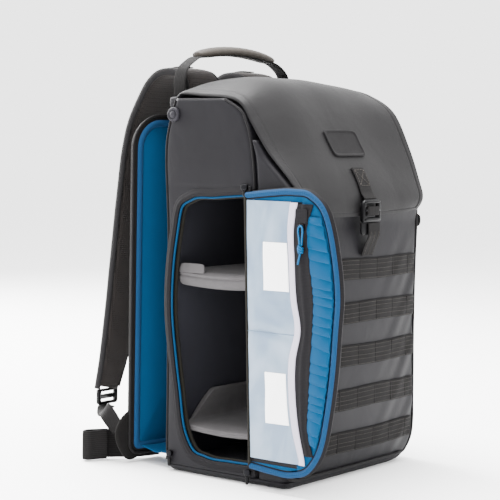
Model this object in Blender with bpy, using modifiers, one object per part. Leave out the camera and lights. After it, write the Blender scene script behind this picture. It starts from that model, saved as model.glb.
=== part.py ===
"""Camera backpack, side door folded open and harness panel swung away from the back.

Metres, +Z up, front towards -Y, wearer's back towards +Y, origin at the centre of the base.
"""
import math

import bmesh
import bpy
import numpy as np
from mathutils import Matrix

# Body
BODY_WIDTH = 0.271
BODY_HEIGHT = 0.448
MAIN_DEPTH = 0.1375
POCKET_DEPTH = 0.0455
BASE_THICKNESS = 0.0087
EDGE_RADIUS = 0.007
LEFT_FOOT_RADIUS = 0.012
RIGHT_FOOT_RADIUS = 0.042

# Cloth, padding and fits
PADDED_WALL = 0.005
CLOTH = 0.002
WEBBING = 0.0016
FIT = 0.0003

# Side opening and its door
SILL_HEIGHT = 0.0215
OPENING_HEIGHT = 0.3175
OPENING_REACH = 0.126
HINGE_LEAN = 0.0135
DOOR_THICKNESS = 0.0100
DOOR_STANDOFF = 0.0034
BINDING_WIDTH = 0.0075
BINDING_HEIGHT = 0.003
LINING = 0.001
RIM_STEPS = 34
PLEAT_COUNT = 18
PLEAT_DEPTH = 0.0011
POCKET_BULGE = 0.0022

# Camera compartment
CEILING_HEIGHT = 0.3435
CEILING_THICKNESS = 0.005
UPPER_DIVIDER_HEIGHT = 0.2225
LOWER_DIVIDER_HEIGHT = 0.0480
DIVIDER_THICKNESS = 0.019
SHELF_THICKNESS = 0.007
DIVIDER_BEND = 0.016
DIVIDER_TURN_UP = 0.042

# Flap and its strap
FLAP_CLOTH = 0.0022
FLAP_LEFT = 0.1315
FLAP_RIGHT = 0.1365
FLAP_CORNER = 0.030
PATCH_WIDTH = 0.066
PATCH_TOP = 0.4125
PATCH_DROP = 0.030
PATCH_THICKNESS = 0.0016
STRAP_TOP = 0.368
BUCKLE_TOP = 0.3325
STRAP_WIDTH = 0.025
BUCKLE_WIDTH = 0.039
BUCKLE_HEIGHT = 0.027
BUCKLE_THICKNESS = 0.0052

# Webbing rows on the pocket
ROW_COUNT = 5
ROW_TOP = 0.262
ROW_PITCH = 0.0515
ROW_HEIGHT = 0.025
PIPING_RADIUS = 0.0018

# Harness panel behind the laptop compartment
PANEL_WIDTH = 0.268
PANEL_BOTTOM = 0.012
PANEL_TOP = 0.427
PANEL_CORNER = 0.040
PANEL_BOARD = 0.010
PANEL_SWING = math.radians(10.1)
PANEL_GAP = 0.0145
PAD_THICKNESS = 0.012
PAD_WIDTH = 0.092
PAD_GAP = 0.026
HINGE_STRIP_INSET = 0.016
HINGE_STRIP_CLOTH = 0.0012
HINGE_STRIP_LAP = 0.0030
HINGE_STRIP_STANDOFF = 0.0010
LINING_CLEARANCE = 0.0032
GUSSET_RISE = 0.008
GUSSET_CLOTH = 0.0015
ANCHOR_REACH = 0.020
ANCHOR_LENGTH = 0.064
ANCHOR_CLOTH = 0.004

# Shoulder straps, yoke and handle
SHOULDER_PAD = 0.011
YOKE_WIDTH = 0.236
YOKE_DEPTH = 0.022
YOKE_HEIGHT = 0.016
HANDLE_SPAN = 0.212
HANDLE_RISE = 0.058
HANDLE_WEBBING = 0.018
GRIP_RADIUS = 0.0085
BELT_HEIGHT = 0.036
BELT_THICKNESS = 0.003
BELT_REACH = 0.040
BELT_CLEARANCE = 0.002
ADJUSTER_WIDTH = 0.036
ADJUSTER_HEIGHT = 0.020
ADJUSTER_THICKNESS = 0.005
ADJUSTER_SLOT = 0.004
LOWER_WIDTH = 0.020

# Pull cord of the door's pocket zip
CORD_RADIUS = 0.001
KNOT_RADIUS = 0.0036

HALF_WIDTH = BODY_WIDTH / 2
BODY_DEPTH = MAIN_DEPTH + POCKET_DEPTH
BACK_Y = BODY_DEPTH / 2
MAIN_FRONT_Y = BACK_Y - MAIN_DEPTH
FRONT_Y = -BODY_DEPTH / 2
FLOOR_OF_BODY = BASE_THICKNESS + FIT
DOOR_X = -(HALF_WIDTH + DOOR_STANDOFF)
DOOR_FACE_X = DOOR_X - DOOR_THICKNESS
PANEL_HINGE_X = HALF_WIDTH - 0.0025
PANEL_HINGE_Y = BACK_Y + PANEL_GAP


def table(columns, *rows):
    """A named table: each column is an array, one value for each row."""
    return dict(zip(columns.split(), np.array(rows, dtype=float).T))


# Sections of the main compartment, from the base up: height as a share of BODY_HEIGHT,
# set-back of the front wall and stand-out of the back wall as shares of MAIN_DEPTH.
MAIN_SECTIONS = table(
    "height front back",
    (0.000, 0.011, 0.004),
    (0.054, 0.011, 0.011),
    (0.225, 0.036, 0.014),
    (0.482, 0.065, 0.025),
    (0.663, 0.080, 0.033),
    (0.766, 0.078, 0.055),
    (0.842, 0.101, 0.069),
    (0.893, 0.131, 0.060),
    (0.940, 0.182, 0.025),
    (0.969, 0.240, -0.004),
    (1.000, 0.425, -0.033),
)

# Sections of the front pocket: set-back of its face and swell of its middle as shares of
# POCKET_DEPTH. Above 0.77 the face slopes back under the flap.
POCKET_SECTIONS = table(
    "height front swell",
    (0.000, 0.180, 0.050),
    (0.054, 0.080, 0.100),
    (0.165, 0.055, 0.150),
    (0.364, 0.090, 0.190),
    (0.536, 0.095, 0.190),
    (0.670, 0.080, 0.140),
    (0.768, 0.110, 0.080),
    (0.803, 0.460, 0.080),
    (0.848, 0.930, 0.090),
    (0.893, 1.260, 0.050),
)

# Flap, from its back seam over the crown to the hem. Reach: distance in front of the back
# wall as a share of BODY_DEPTH. Rise: height as a share of BODY_HEIGHT.
FLAP_SECTIONS = table(
    "left_reach left_rise mid_reach mid_rise right_reach right_rise",
    (0.022, 1.0034, 0.020, 1.0034, 0.022, 1.0034),
    (0.075, 1.0165, 0.065, 1.0480, 0.065, 1.0270),
    (0.230, 1.0125, 0.230, 1.0620, 0.250, 1.0430),
    (0.441, 1.0050, 0.420, 1.0620, 0.420, 1.0380),
    (0.550, 0.9860, 0.580, 1.0380, 0.571, 1.0240),
    (0.634, 0.9370, 0.720, 0.9780, 0.765, 0.9760),
    (0.770, 0.8640, 0.865, 0.8820, 0.900, 0.8750),
    (0.945, 0.7950, 0.990, 0.8030, 0.985, 0.7870),
    (1.030, 0.7520, 1.045, 0.7500, 1.022, 0.7420),
    (1.045, 0.6980, 1.062, 0.6980, 1.016, 0.7100),
)

# Rim of the side opening and of the door, from the hinge's top round to its foot: reach
# from the hinge as a share of OPENING_REACH, height over the sill as one of OPENING_HEIGHT.
OPENING_RIM = table(
    "reach height",
    (0.000, 1.000),
    (0.430, 0.985),
    (0.733, 0.970),
    (0.856, 0.935),
    (0.910, 0.850),
    (0.977, 0.698),
    (1.000, 0.546),
    (0.970, 0.395),
    (0.923, 0.247),
    (0.867, 0.096),
    (0.787, 0.033),
    (0.600, 0.003),
    (0.306, 0.000),
    (0.000, 0.003),
)
DOOR_RIM = table(
    "reach height",
    (0.020, 1.000),
    (0.300, 1.013),
    (0.544, 1.019),
    (0.740, 1.008),
    (0.898, 0.947),
    (0.998, 0.783),
    (1.024, 0.644),
    (0.998, 0.540),
    (0.961, 0.398),
    (0.902, 0.255),
    (0.811, 0.110),
    (0.678, 0.032),
    (0.496, 0.003),
    (0.250, 0.003),
    (0.020, 0.012),
)

# Seams on the inside of the door, as reaches from the hinge: edge of the clear pocket,
# of the pale trim and of the zip tape.
DOOR_SEAMS = table(
    "height pocket trim tape",
    (0.065, 0.573, 0.638, 0.744),
    (0.175, 0.501, 0.578, 0.675),
    (0.279, 0.472, 0.549, 0.690),
    (0.420, 0.479, 0.555, 0.717),
    (0.531, 0.549, 0.614, 0.743),
    (0.631, 0.510, 0.575, 0.758),
    (0.773, 0.494, 0.559, 0.721),
    (0.896, 0.488, 0.560, 0.706),
    (0.984, 0.525, 0.609, 0.783),
)

# Shoulder strap from the yoke down to its adjuster: distance behind BACK_Y and spread from
# the middle as shares of BODY_WIDTH, height of BODY_HEIGHT, width in shares of BODY_WIDTH.
SHOULDER_SECTIONS = table(
    "behind height spread width",
    (0.045, 1.0135, 0.229, 0.240),
    (0.050, 1.0450, 0.229, 0.245),
    (0.085, 1.0680, 0.229, 0.255),
    (0.150, 1.0760, 0.230, 0.258),
    (0.205, 1.0700, 0.232, 0.258),
    (0.255, 1.0470, 0.234, 0.255),
    (0.305, 1.0000, 0.238, 0.252),
    (0.360, 0.9290, 0.244, 0.250),
    (0.382, 0.8700, 0.250, 0.246),
    (0.405, 0.7400, 0.262, 0.236),
    (0.425, 0.5600, 0.284, 0.218),
    (0.440, 0.4000, 0.318, 0.198),
    (0.452, 0.2600, 0.362, 0.172),
    (0.462, 0.1880, 0.388, 0.146),
)

# Points of the pull cord, chosen by hand (y, z), from the knot up and over the slider.
CORD_ROUTE = (
    (-0.1166, 0.2844),
    (-0.1168, 0.2900),
    (-0.1172, 0.2960),
    (-0.1173, 0.3010),
    (-0.1165, 0.3045),
    (-0.1143, 0.3060),
    (-0.1121, 0.3045),
    (-0.1114, 0.3010),
    (-0.1120, 0.2960),
    (-0.1132, 0.2900),
    (-0.1138, 0.2844),
)
TAIL_ROUTE = ((-0.1146, 0.2744), (-0.1136, 0.2705), (-0.1127, 0.2665), (-0.1120, 0.2628))
KNOT_CENTRE = (-0.1152, 0.2794)


def hermite(xs, ys, at):
    """Smooth curve through the points (xs, ys), read at the places at."""
    slopes = np.gradient(ys, xs)
    at = np.clip(at, xs[0], xs[-1])
    cell = np.clip(np.searchsorted(xs, at, side="right") - 1, 0, len(xs) - 2)
    span = xs[cell + 1] - xs[cell]
    t = (at - xs[cell]) / span
    start = (1 + 2 * t) * (1 - t) ** 2 * ys[cell] + t * (1 - t) ** 2 * span * slopes[cell]
    end = t * t * (3 - 2 * t) * ys[cell + 1] - t * t * (1 - t) * span * slopes[cell + 1]
    return start + end


def read(sections, column, height):
    """A section table's column at a height in metres."""
    return hermite(sections["height"], sections[column], np.asarray(height) / BODY_HEIGHT)


def smooth_path(points, count):
    """Count points, evenly spaced, on a smooth curve through the given points."""
    points = np.array(points, dtype=float)
    steps = np.linalg.norm(np.diff(points, axis=0), axis=1)
    place = np.concatenate([[0.0], np.cumsum(steps)])
    at = np.linspace(0.0, place[-1], count)
    return np.stack([hermite(place, column, at) for column in points.T], axis=1)


def main_front(z):
    return MAIN_FRONT_Y + MAIN_DEPTH * read(MAIN_SECTIONS, "front", z)


def main_back(z):
    return BACK_Y + MAIN_DEPTH * read(MAIN_SECTIONS, "back", z)


def foot_inset(z, radius):
    """How far a side draws in near the floor, along a quarter circle."""
    drop = np.clip(radius - np.asarray(z), 0.0, radius)
    return radius - np.sqrt(radius ** 2 - drop ** 2)


def left_side(z):
    return -HALF_WIDTH + foot_inset(z, LEFT_FOOT_RADIUS)


def right_side(z):
    return HALF_WIDTH - foot_inset(z, RIGHT_FOOT_RADIUS)


def pocket_front(x, z):
    """Front face of the pocket, fullest along the middle."""
    share = np.clip(np.asarray(x) / HALF_WIDTH, -1.0, 1.0)
    edge = FRONT_Y + POCKET_DEPTH * read(POCKET_SECTIONS, "front", z)
    return edge - POCKET_DEPTH * read(POCKET_SECTIONS, "swell", z) * (1 - share ** 2)


def hinge_y(z):
    """The door's hinge line leans forward towards the floor."""
    share = (np.asarray(z) - SILL_HEIGHT) / OPENING_HEIGHT
    return MAIN_FRONT_Y + 0.0015 + HINGE_LEAN * share


def rim_points(rim, count, towards, inset=0.0):
    """Rim of the opening (towards +1, rearwards) or the door (-1), drawn in by inset."""
    shares = smooth_path(np.stack([rim["reach"], rim["height"]], axis=1), count)
    z = SILL_HEIGHT + OPENING_HEIGHT * shares[:, 1]
    y = hinge_y(z) + towards * OPENING_REACH * shares[:, 0]
    run = np.gradient(np.stack([y, z], axis=1), axis=0)
    run /= np.linalg.norm(run, axis=1, keepdims=True)
    inward = towards * np.stack([run[:, 1], -run[:, 0]], axis=1)
    return np.stack([y, z], axis=1) + inset * inward


def door_place(x, reach, height):
    """Point on the door from its reach and height shares."""
    z = SILL_HEIGHT + OPENING_HEIGHT * np.asarray(height)
    return np.stack([np.broadcast_to(x, z.shape), hinge_y(z) - OPENING_REACH * reach, z], axis=-1)


def on_panel(across, behind, z):
    """Point in the harness panel's frame: across from its hinge, behind its inner face."""
    across, behind, z = np.broadcast_arrays(across, behind, z)
    x = PANEL_HINGE_X - across * math.cos(PANEL_SWING) + behind * math.sin(PANEL_SWING)
    y = PANEL_HINGE_Y + across * math.sin(PANEL_SWING) + behind * math.cos(PANEL_SWING)
    return np.stack([x, y, z], axis=-1)


def flap_point(u, v):
    """Outer face of the flap: u from -1, left, to 1, right; v from 0, back seam, to 1, hem."""
    rows = np.linspace(0.0, 1.0, len(FLAP_SECTIONS["mid_reach"]))
    left, right = np.clip(-u, 0, 1) ** 4, np.clip(u, 0, 1) ** 2

    def column(kind):
        mid = hermite(rows, FLAP_SECTIONS["mid_" + kind], v)
        to_left = hermite(rows, FLAP_SECTIONS["left_" + kind], v) - mid
        to_right = hermite(rows, FLAP_SECTIONS["right_" + kind], v) - mid
        return mid + left * to_left + right * to_right

    y = BACK_Y - BODY_DEPTH * column("reach")
    z = BODY_HEIGHT * column("rise")
    hem = BODY_HEIGHT * hermite(rows, FLAP_SECTIONS["mid_rise"], np.array([1.0]))[0]
    corner = foot_inset(np.clip(z - hem, 0.0, None), FLAP_CORNER)
    half = np.where(np.asarray(u) < 0, FLAP_LEFT, FLAP_RIGHT) - corner * np.abs(u)
    return np.stack([u * half, y, z], axis=-1)


def material(name, shade, roughness, metallic=0.0):
    """A plain material from a hex colour in sRGB."""
    made = bpy.data.materials.new(name)
    made.use_nodes = True
    shader = made.node_tree.nodes["Principled BSDF"]
    channels = [int(shade[i:i + 2], 16) / 255 for i in (1, 3, 5)]
    linear = [c / 12.92 if c <= 0.04045 else ((c + 0.055) / 1.055) ** 2.4 for c in channels]
    shader.inputs["Base Color"].default_value = (*linear, 1.0)
    shader.inputs["Roughness"].default_value = roughness
    shader.inputs["Metallic"].default_value = metallic
    return made


def new_object(name, mesh_data, finish):
    """Put a mesh or a curve in the part's collection with its material."""
    piece = bpy.data.objects.new(name, mesh_data)
    mesh_data.materials.append(finish)
    PART.objects.link(piece)
    return piece


def from_bmesh(name, shape, finish):
    mesh = bpy.data.meshes.new(name)
    bmesh.ops.recalc_face_normals(shape, faces=shape.faces)
    shape.to_mesh(mesh)
    shape.free()
    return new_object(name, mesh, finish)


def thicken(piece, thickness, offset):
    """Give an open surface its wall: offset -1 grows it inwards, 1 outwards, 0 both ways."""
    wall = piece.modifiers.new("wall", "SOLIDIFY")
    wall.thickness = thickness
    wall.offset = offset
    wall.use_even_offset = True
    return piece


def soften(piece, width, segments=2):
    bevel = piece.modifiers.new("edges", "BEVEL")
    bevel.width = width
    bevel.segments = segments
    bevel.limit_method = "ANGLE"
    bevel.angle_limit = math.radians(40)
    return piece


def grid(points, around=False):
    """Quads over an array of points, rows by columns; around closes each row on itself."""
    points = np.asarray(points)
    rows, columns = points.shape[:2]
    shape = bmesh.new()
    verts = [shape.verts.new(p) for p in points.reshape(-1, 3)]
    last = columns if around else columns - 1
    for i in range(rows - 1):
        for j in range(last):
            k = (j + 1) % columns
            shape.faces.new([verts[i * columns + j], verts[i * columns + k],
                             verts[(i + 1) * columns + k], verts[(i + 1) * columns + j]])
    return shape, verts


def sheet(name, points, thickness, finish, offset=0.0):
    """A cloth or board surface given as a grid of points; its faces keep their winding."""
    shape, _ = grid(points)
    mesh = bpy.data.meshes.new(name)
    shape.to_mesh(mesh)
    shape.free()
    return thicken(new_object(name, mesh, finish), thickness, offset)


def plate(name, points, thickness, finish, offset=0.0):
    """A flat piece from its outline."""
    shape = bmesh.new()
    shape.faces.new([shape.verts.new(p) for p in points])
    mesh = bpy.data.meshes.new(name)
    shape.to_mesh(mesh)
    shape.free()
    return thicken(new_object(name, mesh, finish), thickness, offset)


def block(name, low, high, finish, edge=0.0):
    """A box between two corners, with softened edges."""
    low, high = np.array(low), np.array(high)
    shape = bmesh.new()
    size = Matrix.Diagonal((*(high - low), 1.0))
    bmesh.ops.create_cube(shape, size=1.0, matrix=Matrix.Translation((low + high) / 2) @ size)
    piece = from_bmesh(name, shape, finish)
    return soften(piece, edge) if edge else piece


def tube(name, points, radius, finish, resolution=1):
    """A round bar along a smooth path, as a bevelled curve with closed ends."""
    curve = bpy.data.curves.new(name, "CURVE")
    curve.dimensions = "3D"
    spline = curve.splines.new("POLY")
    spline.points.add(len(points) - 1)
    for place, point in zip(spline.points, points):
        place.co = (*point, 1.0)
    curve.bevel_depth = radius
    curve.bevel_resolution = resolution
    curve.use_fill_caps = True
    return new_object(name, curve, finish)


def strap(name, path, across, width, thickness, finish):
    """Webbing: a path swept by a width that may change its direction along the way."""
    path = np.asarray(path)
    across = np.broadcast_to(across, path.shape)
    across = across / np.linalg.norm(across, axis=1, keepdims=True)
    half = np.broadcast_to(np.asarray(width) / 2, len(path))[:, None] * across
    return sheet(name, np.stack([path - half, path + half], axis=1), thickness, finish)


def rounded_rectangle(width, height, radii, steps=4):
    """Outline round the origin, anticlockwise from the lower right; a radius per corner."""
    points = []
    corners = ((1, -1), (1, 1), (-1, 1), (-1, -1))
    for (sx, sy), radius, start in zip(corners, radii, (-90, 0, 90, 180)):
        for angle in np.radians(np.linspace(start, start + 90, steps + 1)):
            points.append((sx * (width / 2 - radius) + radius * math.cos(angle),
                           sy * (height / 2 - radius) + radius * math.sin(angle)))
    return np.array(points)


def body_ring(z, left, right, front, back, swell=0.0, radius=EDGE_RADIUS):
    """Level section of a compartment, anticlockwise from the left end of its front."""
    stations = np.linspace(0.0, 1.0, 6)
    arc = np.radians(np.linspace(0, 90, 3))
    near, far = left + radius, right - radius
    front_x = near + (far - near) * stations
    middle = (left + right) / 2
    bow = swell * (1 - ((front_x - middle) / ((right - left) / 2)) ** 2)
    rows = [(x, front - b) for x, b in zip(front_x, bow)]
    lift = bow[-1]
    rows += [(far + radius * math.sin(a), front + radius - radius * math.cos(a) - lift * math.cos(a))
             for a in arc[1:]]
    rows += [(right, (front + back) / 2)]
    rows += [(far + radius * math.cos(a), back - radius + radius * math.sin(a)) for a in arc]
    rows += [(far + (near - far) * s, back) for s in (0.33, 0.67)]
    rows += [(near - radius * math.sin(a), back - radius + radius * math.cos(a)) for a in arc]
    rows += [(left, (front + back) / 2)]
    rows += [(near - radius * math.cos(a), front + radius - radius * math.sin(a) - lift * math.sin(a))
             for a in arc[:-1]]
    return [(x, y, z) for x, y in rows]


def compartment(name, rings, finish, wall=0.0, close_top=True):
    """A body lofted through level rings; with a wall it is hollow."""
    shape, verts = grid(rings, around=True)
    columns = len(rings[0])
    shape.faces.new(list(reversed(verts[:columns])))
    if close_top:
        shape.faces.new(verts[-columns:])
    piece = from_bmesh(name, shape, finish) if close_top else None
    if piece is None:
        mesh = bpy.data.meshes.new(name)
        shape.to_mesh(mesh)
        shape.free()
        piece = new_object(name, mesh, finish)
    return thicken(piece, wall, -1.0) if wall else piece


def cut(piece, cutter):
    """Take the cutter's shape out of the piece."""
    PART.objects.unlink(cutter)
    CUTTERS.objects.link(cutter)
    cutter.hide_render = True
    cutter.display_type = "WIRE"
    boolean = piece.modifiers.new("cut_" + cutter.name, "BOOLEAN")
    boolean.operation = "DIFFERENCE"
    boolean.object = cutter


def join(piece, other):
    """Fuse another shape into the piece, as one body."""
    PART.objects.unlink(other)
    CUTTERS.objects.link(other)
    other.hide_render = True
    other.display_type = "WIRE"
    boolean = piece.modifiers.new("join_" + other.name, "BOOLEAN")
    boolean.operation = "UNION"
    boolean.object = other


def build_body():
    """Padded main compartment, base, front pocket and the piping round its face."""
    levels = BODY_HEIGHT * np.array([0.036, 0.09, 0.225, 0.482, 0.663, 0.766,
                                     0.842, 0.893, 0.94, 0.969, 1.0])
    levels = np.concatenate([[FLOOR_OF_BODY], levels])
    shell = compartment("main_shell", [body_ring(z, left_side(z), right_side(z), main_front(z),
                                                 main_back(z)) for z in levels],
                        COATED, PADDED_WALL, close_top=False)
    rim = rim_points(OPENING_RIM, RIM_STEPS, 1)
    cutter = plate("opening_cutter", [(-HALF_WIDTH, y, z) for y, z in rim], 0.03, COATED)
    cut(shell, cutter)

    base_rings = []
    for z in (0.0, 0.35 * BASE_THICKNESS, BASE_THICKNESS):
        tuck = 0.006 * (1 - z / BASE_THICKNESS) ** 2
        front = pocket_front(HALF_WIDTH, FLOOR_OF_BODY) + tuck
        back = main_back(FLOOR_OF_BODY) - tuck
        base_rings.append(body_ring(z, left_side(z), right_side(z), front, back,
                                    POCKET_DEPTH * POCKET_SECTIONS["swell"][0]))
    compartment("base_panel", base_rings, COATED)

    levels = BODY_HEIGHT * np.array([0.036, 0.09, 0.20, 0.364, 0.536, 0.670, 0.768,
                                     0.803, 0.848, 0.893])
    levels = np.concatenate([[FLOOR_OF_BODY], levels])
    rings = []
    for z in levels:
        edge = pocket_front(HALF_WIDTH, z)
        back = main_front(z) - FIT - 0.0002
        swell = edge - pocket_front(0.0, z)
        rings.append(body_ring(z, left_side(z), right_side(z), edge, back, swell,
                               min(EDGE_RADIUS, 0.45 * (back - edge))))
    pocket = compartment("front_pocket", rings, COATED, CLOTH)
    mouth = block("mouth_cutter", (-0.8 * HALF_WIDTH, FRONT_Y - 0.02, 0.785 * BODY_HEIGHT),
                  (0.8 * HALF_WIDTH, MAIN_FRONT_Y - 0.001, 0.872 * BODY_HEIGHT), COATED)
    cut(pocket, mouth)
    build_pocket_piping()


def build_pocket_piping():
    """Piping down both front edges and along the foot of the pocket's face."""
    out = EDGE_RADIUS + PIPING_RADIUS + 2.5 * FIT
    shift = out * math.cos(math.radians(45)) - EDGE_RADIUS
    top = 0.768 * BODY_HEIGHT
    foot = FLOOR_OF_BODY + PIPING_RADIUS
    edge_heights = np.linspace(top, RIGHT_FOOT_RADIUS, 9)
    right = [(HALF_WIDTH + shift, pocket_front(HALF_WIDTH, z) - shift, z) for z in edge_heights]
    left_heights = np.linspace(LEFT_FOOT_RADIUS + 0.012, top, 9)
    left = [(-HALF_WIDTH - shift, pocket_front(HALF_WIDTH, z) - shift, z) for z in left_heights]
    out_front = PIPING_RADIUS + 0.0009
    corner = []
    for z in (0.034, 0.026, 0.019, 0.0142):
        x = right_side(z) + 0.3 * shift
        corner.append((x, pocket_front(x, z) - 0.8 * out_front, z))
    foot_x = np.linspace(right_side(foot) - 0.012, left_side(foot) + 0.016, 9)
    along_foot = [(x, pocket_front(x, foot) - out_front, foot) for x in foot_x]
    turn = [(-HALF_WIDTH + 0.0035, pocket_front(HALF_WIDTH, 0.016) - out_front, 0.0150)]
    route = right + corner + along_foot + turn + left
    tube("pocket_piping", smooth_path(route, 46), PIPING_RADIUS, TRIM_BLACK)


# Turned-up rear end of the lower divider: reach over the bend, rise and the slope of its
# rounded left corner as shares of DIVIDER_TURN_UP.
TURN_UP = table(
    "reach rise inset",
    (0.500, 0.051, 0.190),
    (0.866, 0.190, 0.560),
    (1.000, 0.381, 0.800),
    (1.000, 0.667, 1.100),
    (1.000, 1.000, 1.560),
)


def build_compartment():
    """Camera compartment: ceiling, two padded dividers and the trims of the opening."""
    for name, height, thick, sag, front_gap, turn_up in (
            ("compartment_ceiling", CEILING_HEIGHT, CEILING_THICKNESS, 0.0, 0.002, 0.0),
            ("upper_divider", UPPER_DIVIDER_HEIGHT, DIVIDER_THICKNESS, 0.003, 0.007, 0.0),
            ("lower_divider", LOWER_DIVIDER_HEIGHT, SHELF_THICKNESS, 0.003, 0.007, DIVIDER_TURN_UP)):
        inner = PADDED_WALL + 2 * FIT
        edge = np.linspace(height + sag, height + sag + thick, 3)
        low_front = np.max(main_front(edge)) + inner
        low_back = np.min(main_back(edge)) - inner
        side = HALF_WIDTH - inner - front_gap
        bend = DIVIDER_BEND if turn_up else 0.0
        y = np.linspace(low_front, low_back - bend, 7)
        rise, inset = np.zeros(7), np.zeros(7)
        if turn_up:
            y = np.concatenate([y, low_back - bend + bend * TURN_UP["reach"]])
            rise = np.concatenate([rise, turn_up * TURN_UP["rise"]])
            inset = np.concatenate([inset, turn_up * TURN_UP["inset"]])
        share, grid_y = np.meshgrid(np.linspace(0, 1, 5), y, indexing="ij")
        left = -side + inset
        grid_x = left + (HALF_WIDTH - EDGE_RADIUS - FIT - left) * share
        depth = np.clip((grid_y - low_front) / (low_back - bend - low_front), 0, 1)
        dip = -sag * np.sin(math.pi * depth) * (0.6 - 0.4 * grid_x / HALF_WIDTH)
        points = np.stack([grid_x, grid_y, height + sag + dip + rise], axis=-1)
        sheet(name, points, thick, DIVIDER, offset=-1.0)

    inner_edge = rim_points(OPENING_RIM, RIM_STEPS, 1, 0.0021)[1:-1]
    tube("opening_piping", [(-HALF_WIDTH + 0.0015, y, z) for y, z in inner_edge], 0.0014, BLUE_PIPING)
    behind = rim_points(OPENING_RIM, RIM_STEPS, 1, 0.0022)[1:-1]
    tube("insert_rim", [(-HALF_WIDTH + PADDED_WALL + 0.0028, y, z) for y, z in behind], 0.0024, RIM_BROWN)
    face_x = -HALF_WIDTH - FIT
    tape = [rim_points(OPENING_RIM, RIM_STEPS, 1, -offset) for offset in (0.0010, 0.0085)]
    points = np.stack([[(face_x, y, z) for y, z in edge] for edge in tape], axis=1)
    sheet("opening_zip", points, 0.0012, ZIP_BLACK, offset=side_sign(points))
    build_ring()


def side_sign(points):
    """Offset that grows a sheet towards -X from where it is drawn."""
    first = points[1, 0] - points[0, 0]
    second = points[0, 1] - points[0, 0]
    return -1.0 if np.cross(second, first)[0] > 0 else 1.0


def build_ring():
    """Round moulded eyelet at the top of the side panel, a turned profile."""
    profile = ((0.0085, 0.0), (0.0085, 0.0016), (0.0072, 0.0030), (0.0056, 0.0026),
               (0.0048, 0.0016), (0.0036, 0.0034), (0.0018, 0.0042), (0.0, 0.0044))
    mesh = bpy.data.meshes.new("side_ring")
    shape = bmesh.new()
    points = [(0.0, 0.0)] + list(profile)
    verts = [shape.verts.new((r, 0.0, h)) for r, h in points]
    edges = [shape.edges.new(pair) for pair in zip(verts, verts[1:])]
    bmesh.ops.spin(shape, geom=verts + edges, cent=(0, 0, 0), axis=(0, 0, 1),
                   angle=2 * math.pi, steps=16, use_merge=True)
    bmesh.ops.remove_doubles(shape, verts=shape.verts, dist=0.00005)
    bmesh.ops.recalc_face_normals(shape, faces=shape.faces)
    shape.to_mesh(mesh)
    shape.free()
    ring = new_object("side_ring", mesh, RING_GREY)
    ring.rotation_euler = (0.0, math.radians(-90), 0.0)
    ring.location = (-HALF_WIDTH - FIT, BACK_Y - 0.0050, 0.957 * BODY_HEIGHT)


def build_door():
    """Side door folded flat along the body, with all that is sewn to its inner face."""
    rim = rim_points(DOOR_RIM, RIM_STEPS, -1)
    plate("side_door", [(DOOR_X, y, z) for y, z in rim], DOOR_THICKNESS, COATED,
          offset=outline_sign(rim))

    face = DOOR_FACE_X - FIT
    edges = [rim_points(DOOR_RIM, RIM_STEPS, -1, inset) for inset in (0.0008, 0.0008 + BINDING_WIDTH)]
    points = np.stack([[(face, y, z) for y, z in edge] for edge in edges], axis=1)
    sheet("door_binding", points, BINDING_HEIGHT, BINDING_BLUE, offset=side_sign(points))

    clear = BINDING_WIDTH + 0.0016
    lining = rim_points(DOOR_RIM, RIM_STEPS, -1, clear)[1:-1]
    plate("door_lining", [(face, y, z) for y, z in lining], LINING, LINING_TEAL,
          offset=outline_sign(lining))

    over = face - LINING - FIT
    build_door_strips(over, clear)
    build_clear_pocket(over)
    build_pull(over)

    z = np.linspace(SILL_HEIGHT + 0.010, SILL_HEIGHT + OPENING_HEIGHT - 0.006, 9)
    x = np.array([-HALF_WIDTH - 0.0016 - FIT, DOOR_FACE_X - 0.0022])
    grid_x, grid_z = np.meshgrid(x, z, indexing="ij")
    line = hinge_y(grid_z) - 0.0013
    sheet("door_hinge", np.stack([grid_x, line, grid_z], axis=-1), 0.0016, RIM_BROWN, offset=0.0)


def outline_sign(outline):
    """Offset that grows a plate drawn in the YZ plane towards -X."""
    y, z = outline[:, 0], outline[:, 1]
    area = np.sum(y * np.roll(z, -1) - np.roll(y, -1) * z)
    return -1.0 if area > 0 else 1.0


def door_reach(height):
    """Share of reach of the door's rim at a share of height, along its free edge."""
    free = slice(3, 12)
    return np.interp(height, DOOR_RIM["height"][free][::-1], DOOR_RIM["reach"][free][::-1])


def seam(column, height):
    return hermite(DOOR_SEAMS["height"], DOOR_SEAMS[column], height)


def build_door_strips(over, clear):
    """Trim, zip tape and gathered lining, side by side on the door."""
    gap = 0.0006 / OPENING_REACH
    height = np.linspace(0.062, 0.955, 13)
    for name, inner, outer, thick, finish in (
            ("door_trim", "pocket", "trim", 0.0016, TRIM_PALE),
            ("door_zip", "trim", "tape", 0.0013, ZIP_BLACK)):
        rows = height if name == "door_trim" else np.linspace(0.110, 0.940, 13)
        points = np.stack([door_place(over, seam(inner, rows) + gap, rows),
                           door_place(over, seam(outer, rows), rows)], axis=1)
        sheet(name, points, thick, finish, offset=side_sign(points))

    rows = np.linspace(0.140, 0.915, 4 * PLEAT_COUNT + 1)
    inner = seam("tape", rows) + gap
    outer = door_reach(rows) - (clear + 0.0010) / OPENING_REACH
    folds = PLEAT_DEPTH * np.cos(np.linspace(0.0, 2 * math.pi * PLEAT_COUNT, len(rows)))
    fade = np.array([0.25, 1.0, 0.35])
    x = over - LINING - PLEAT_DEPTH - fade[None, :] * folds[:, None]
    reach = inner[:, None] + (outer - inner)[:, None] * np.array([0.0, 0.5, 1.0])
    points = door_place(x, reach, np.repeat(rows[:, None], 3, axis=1))
    sheet("door_gather", points, LINING, LINING_TEAL)


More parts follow.
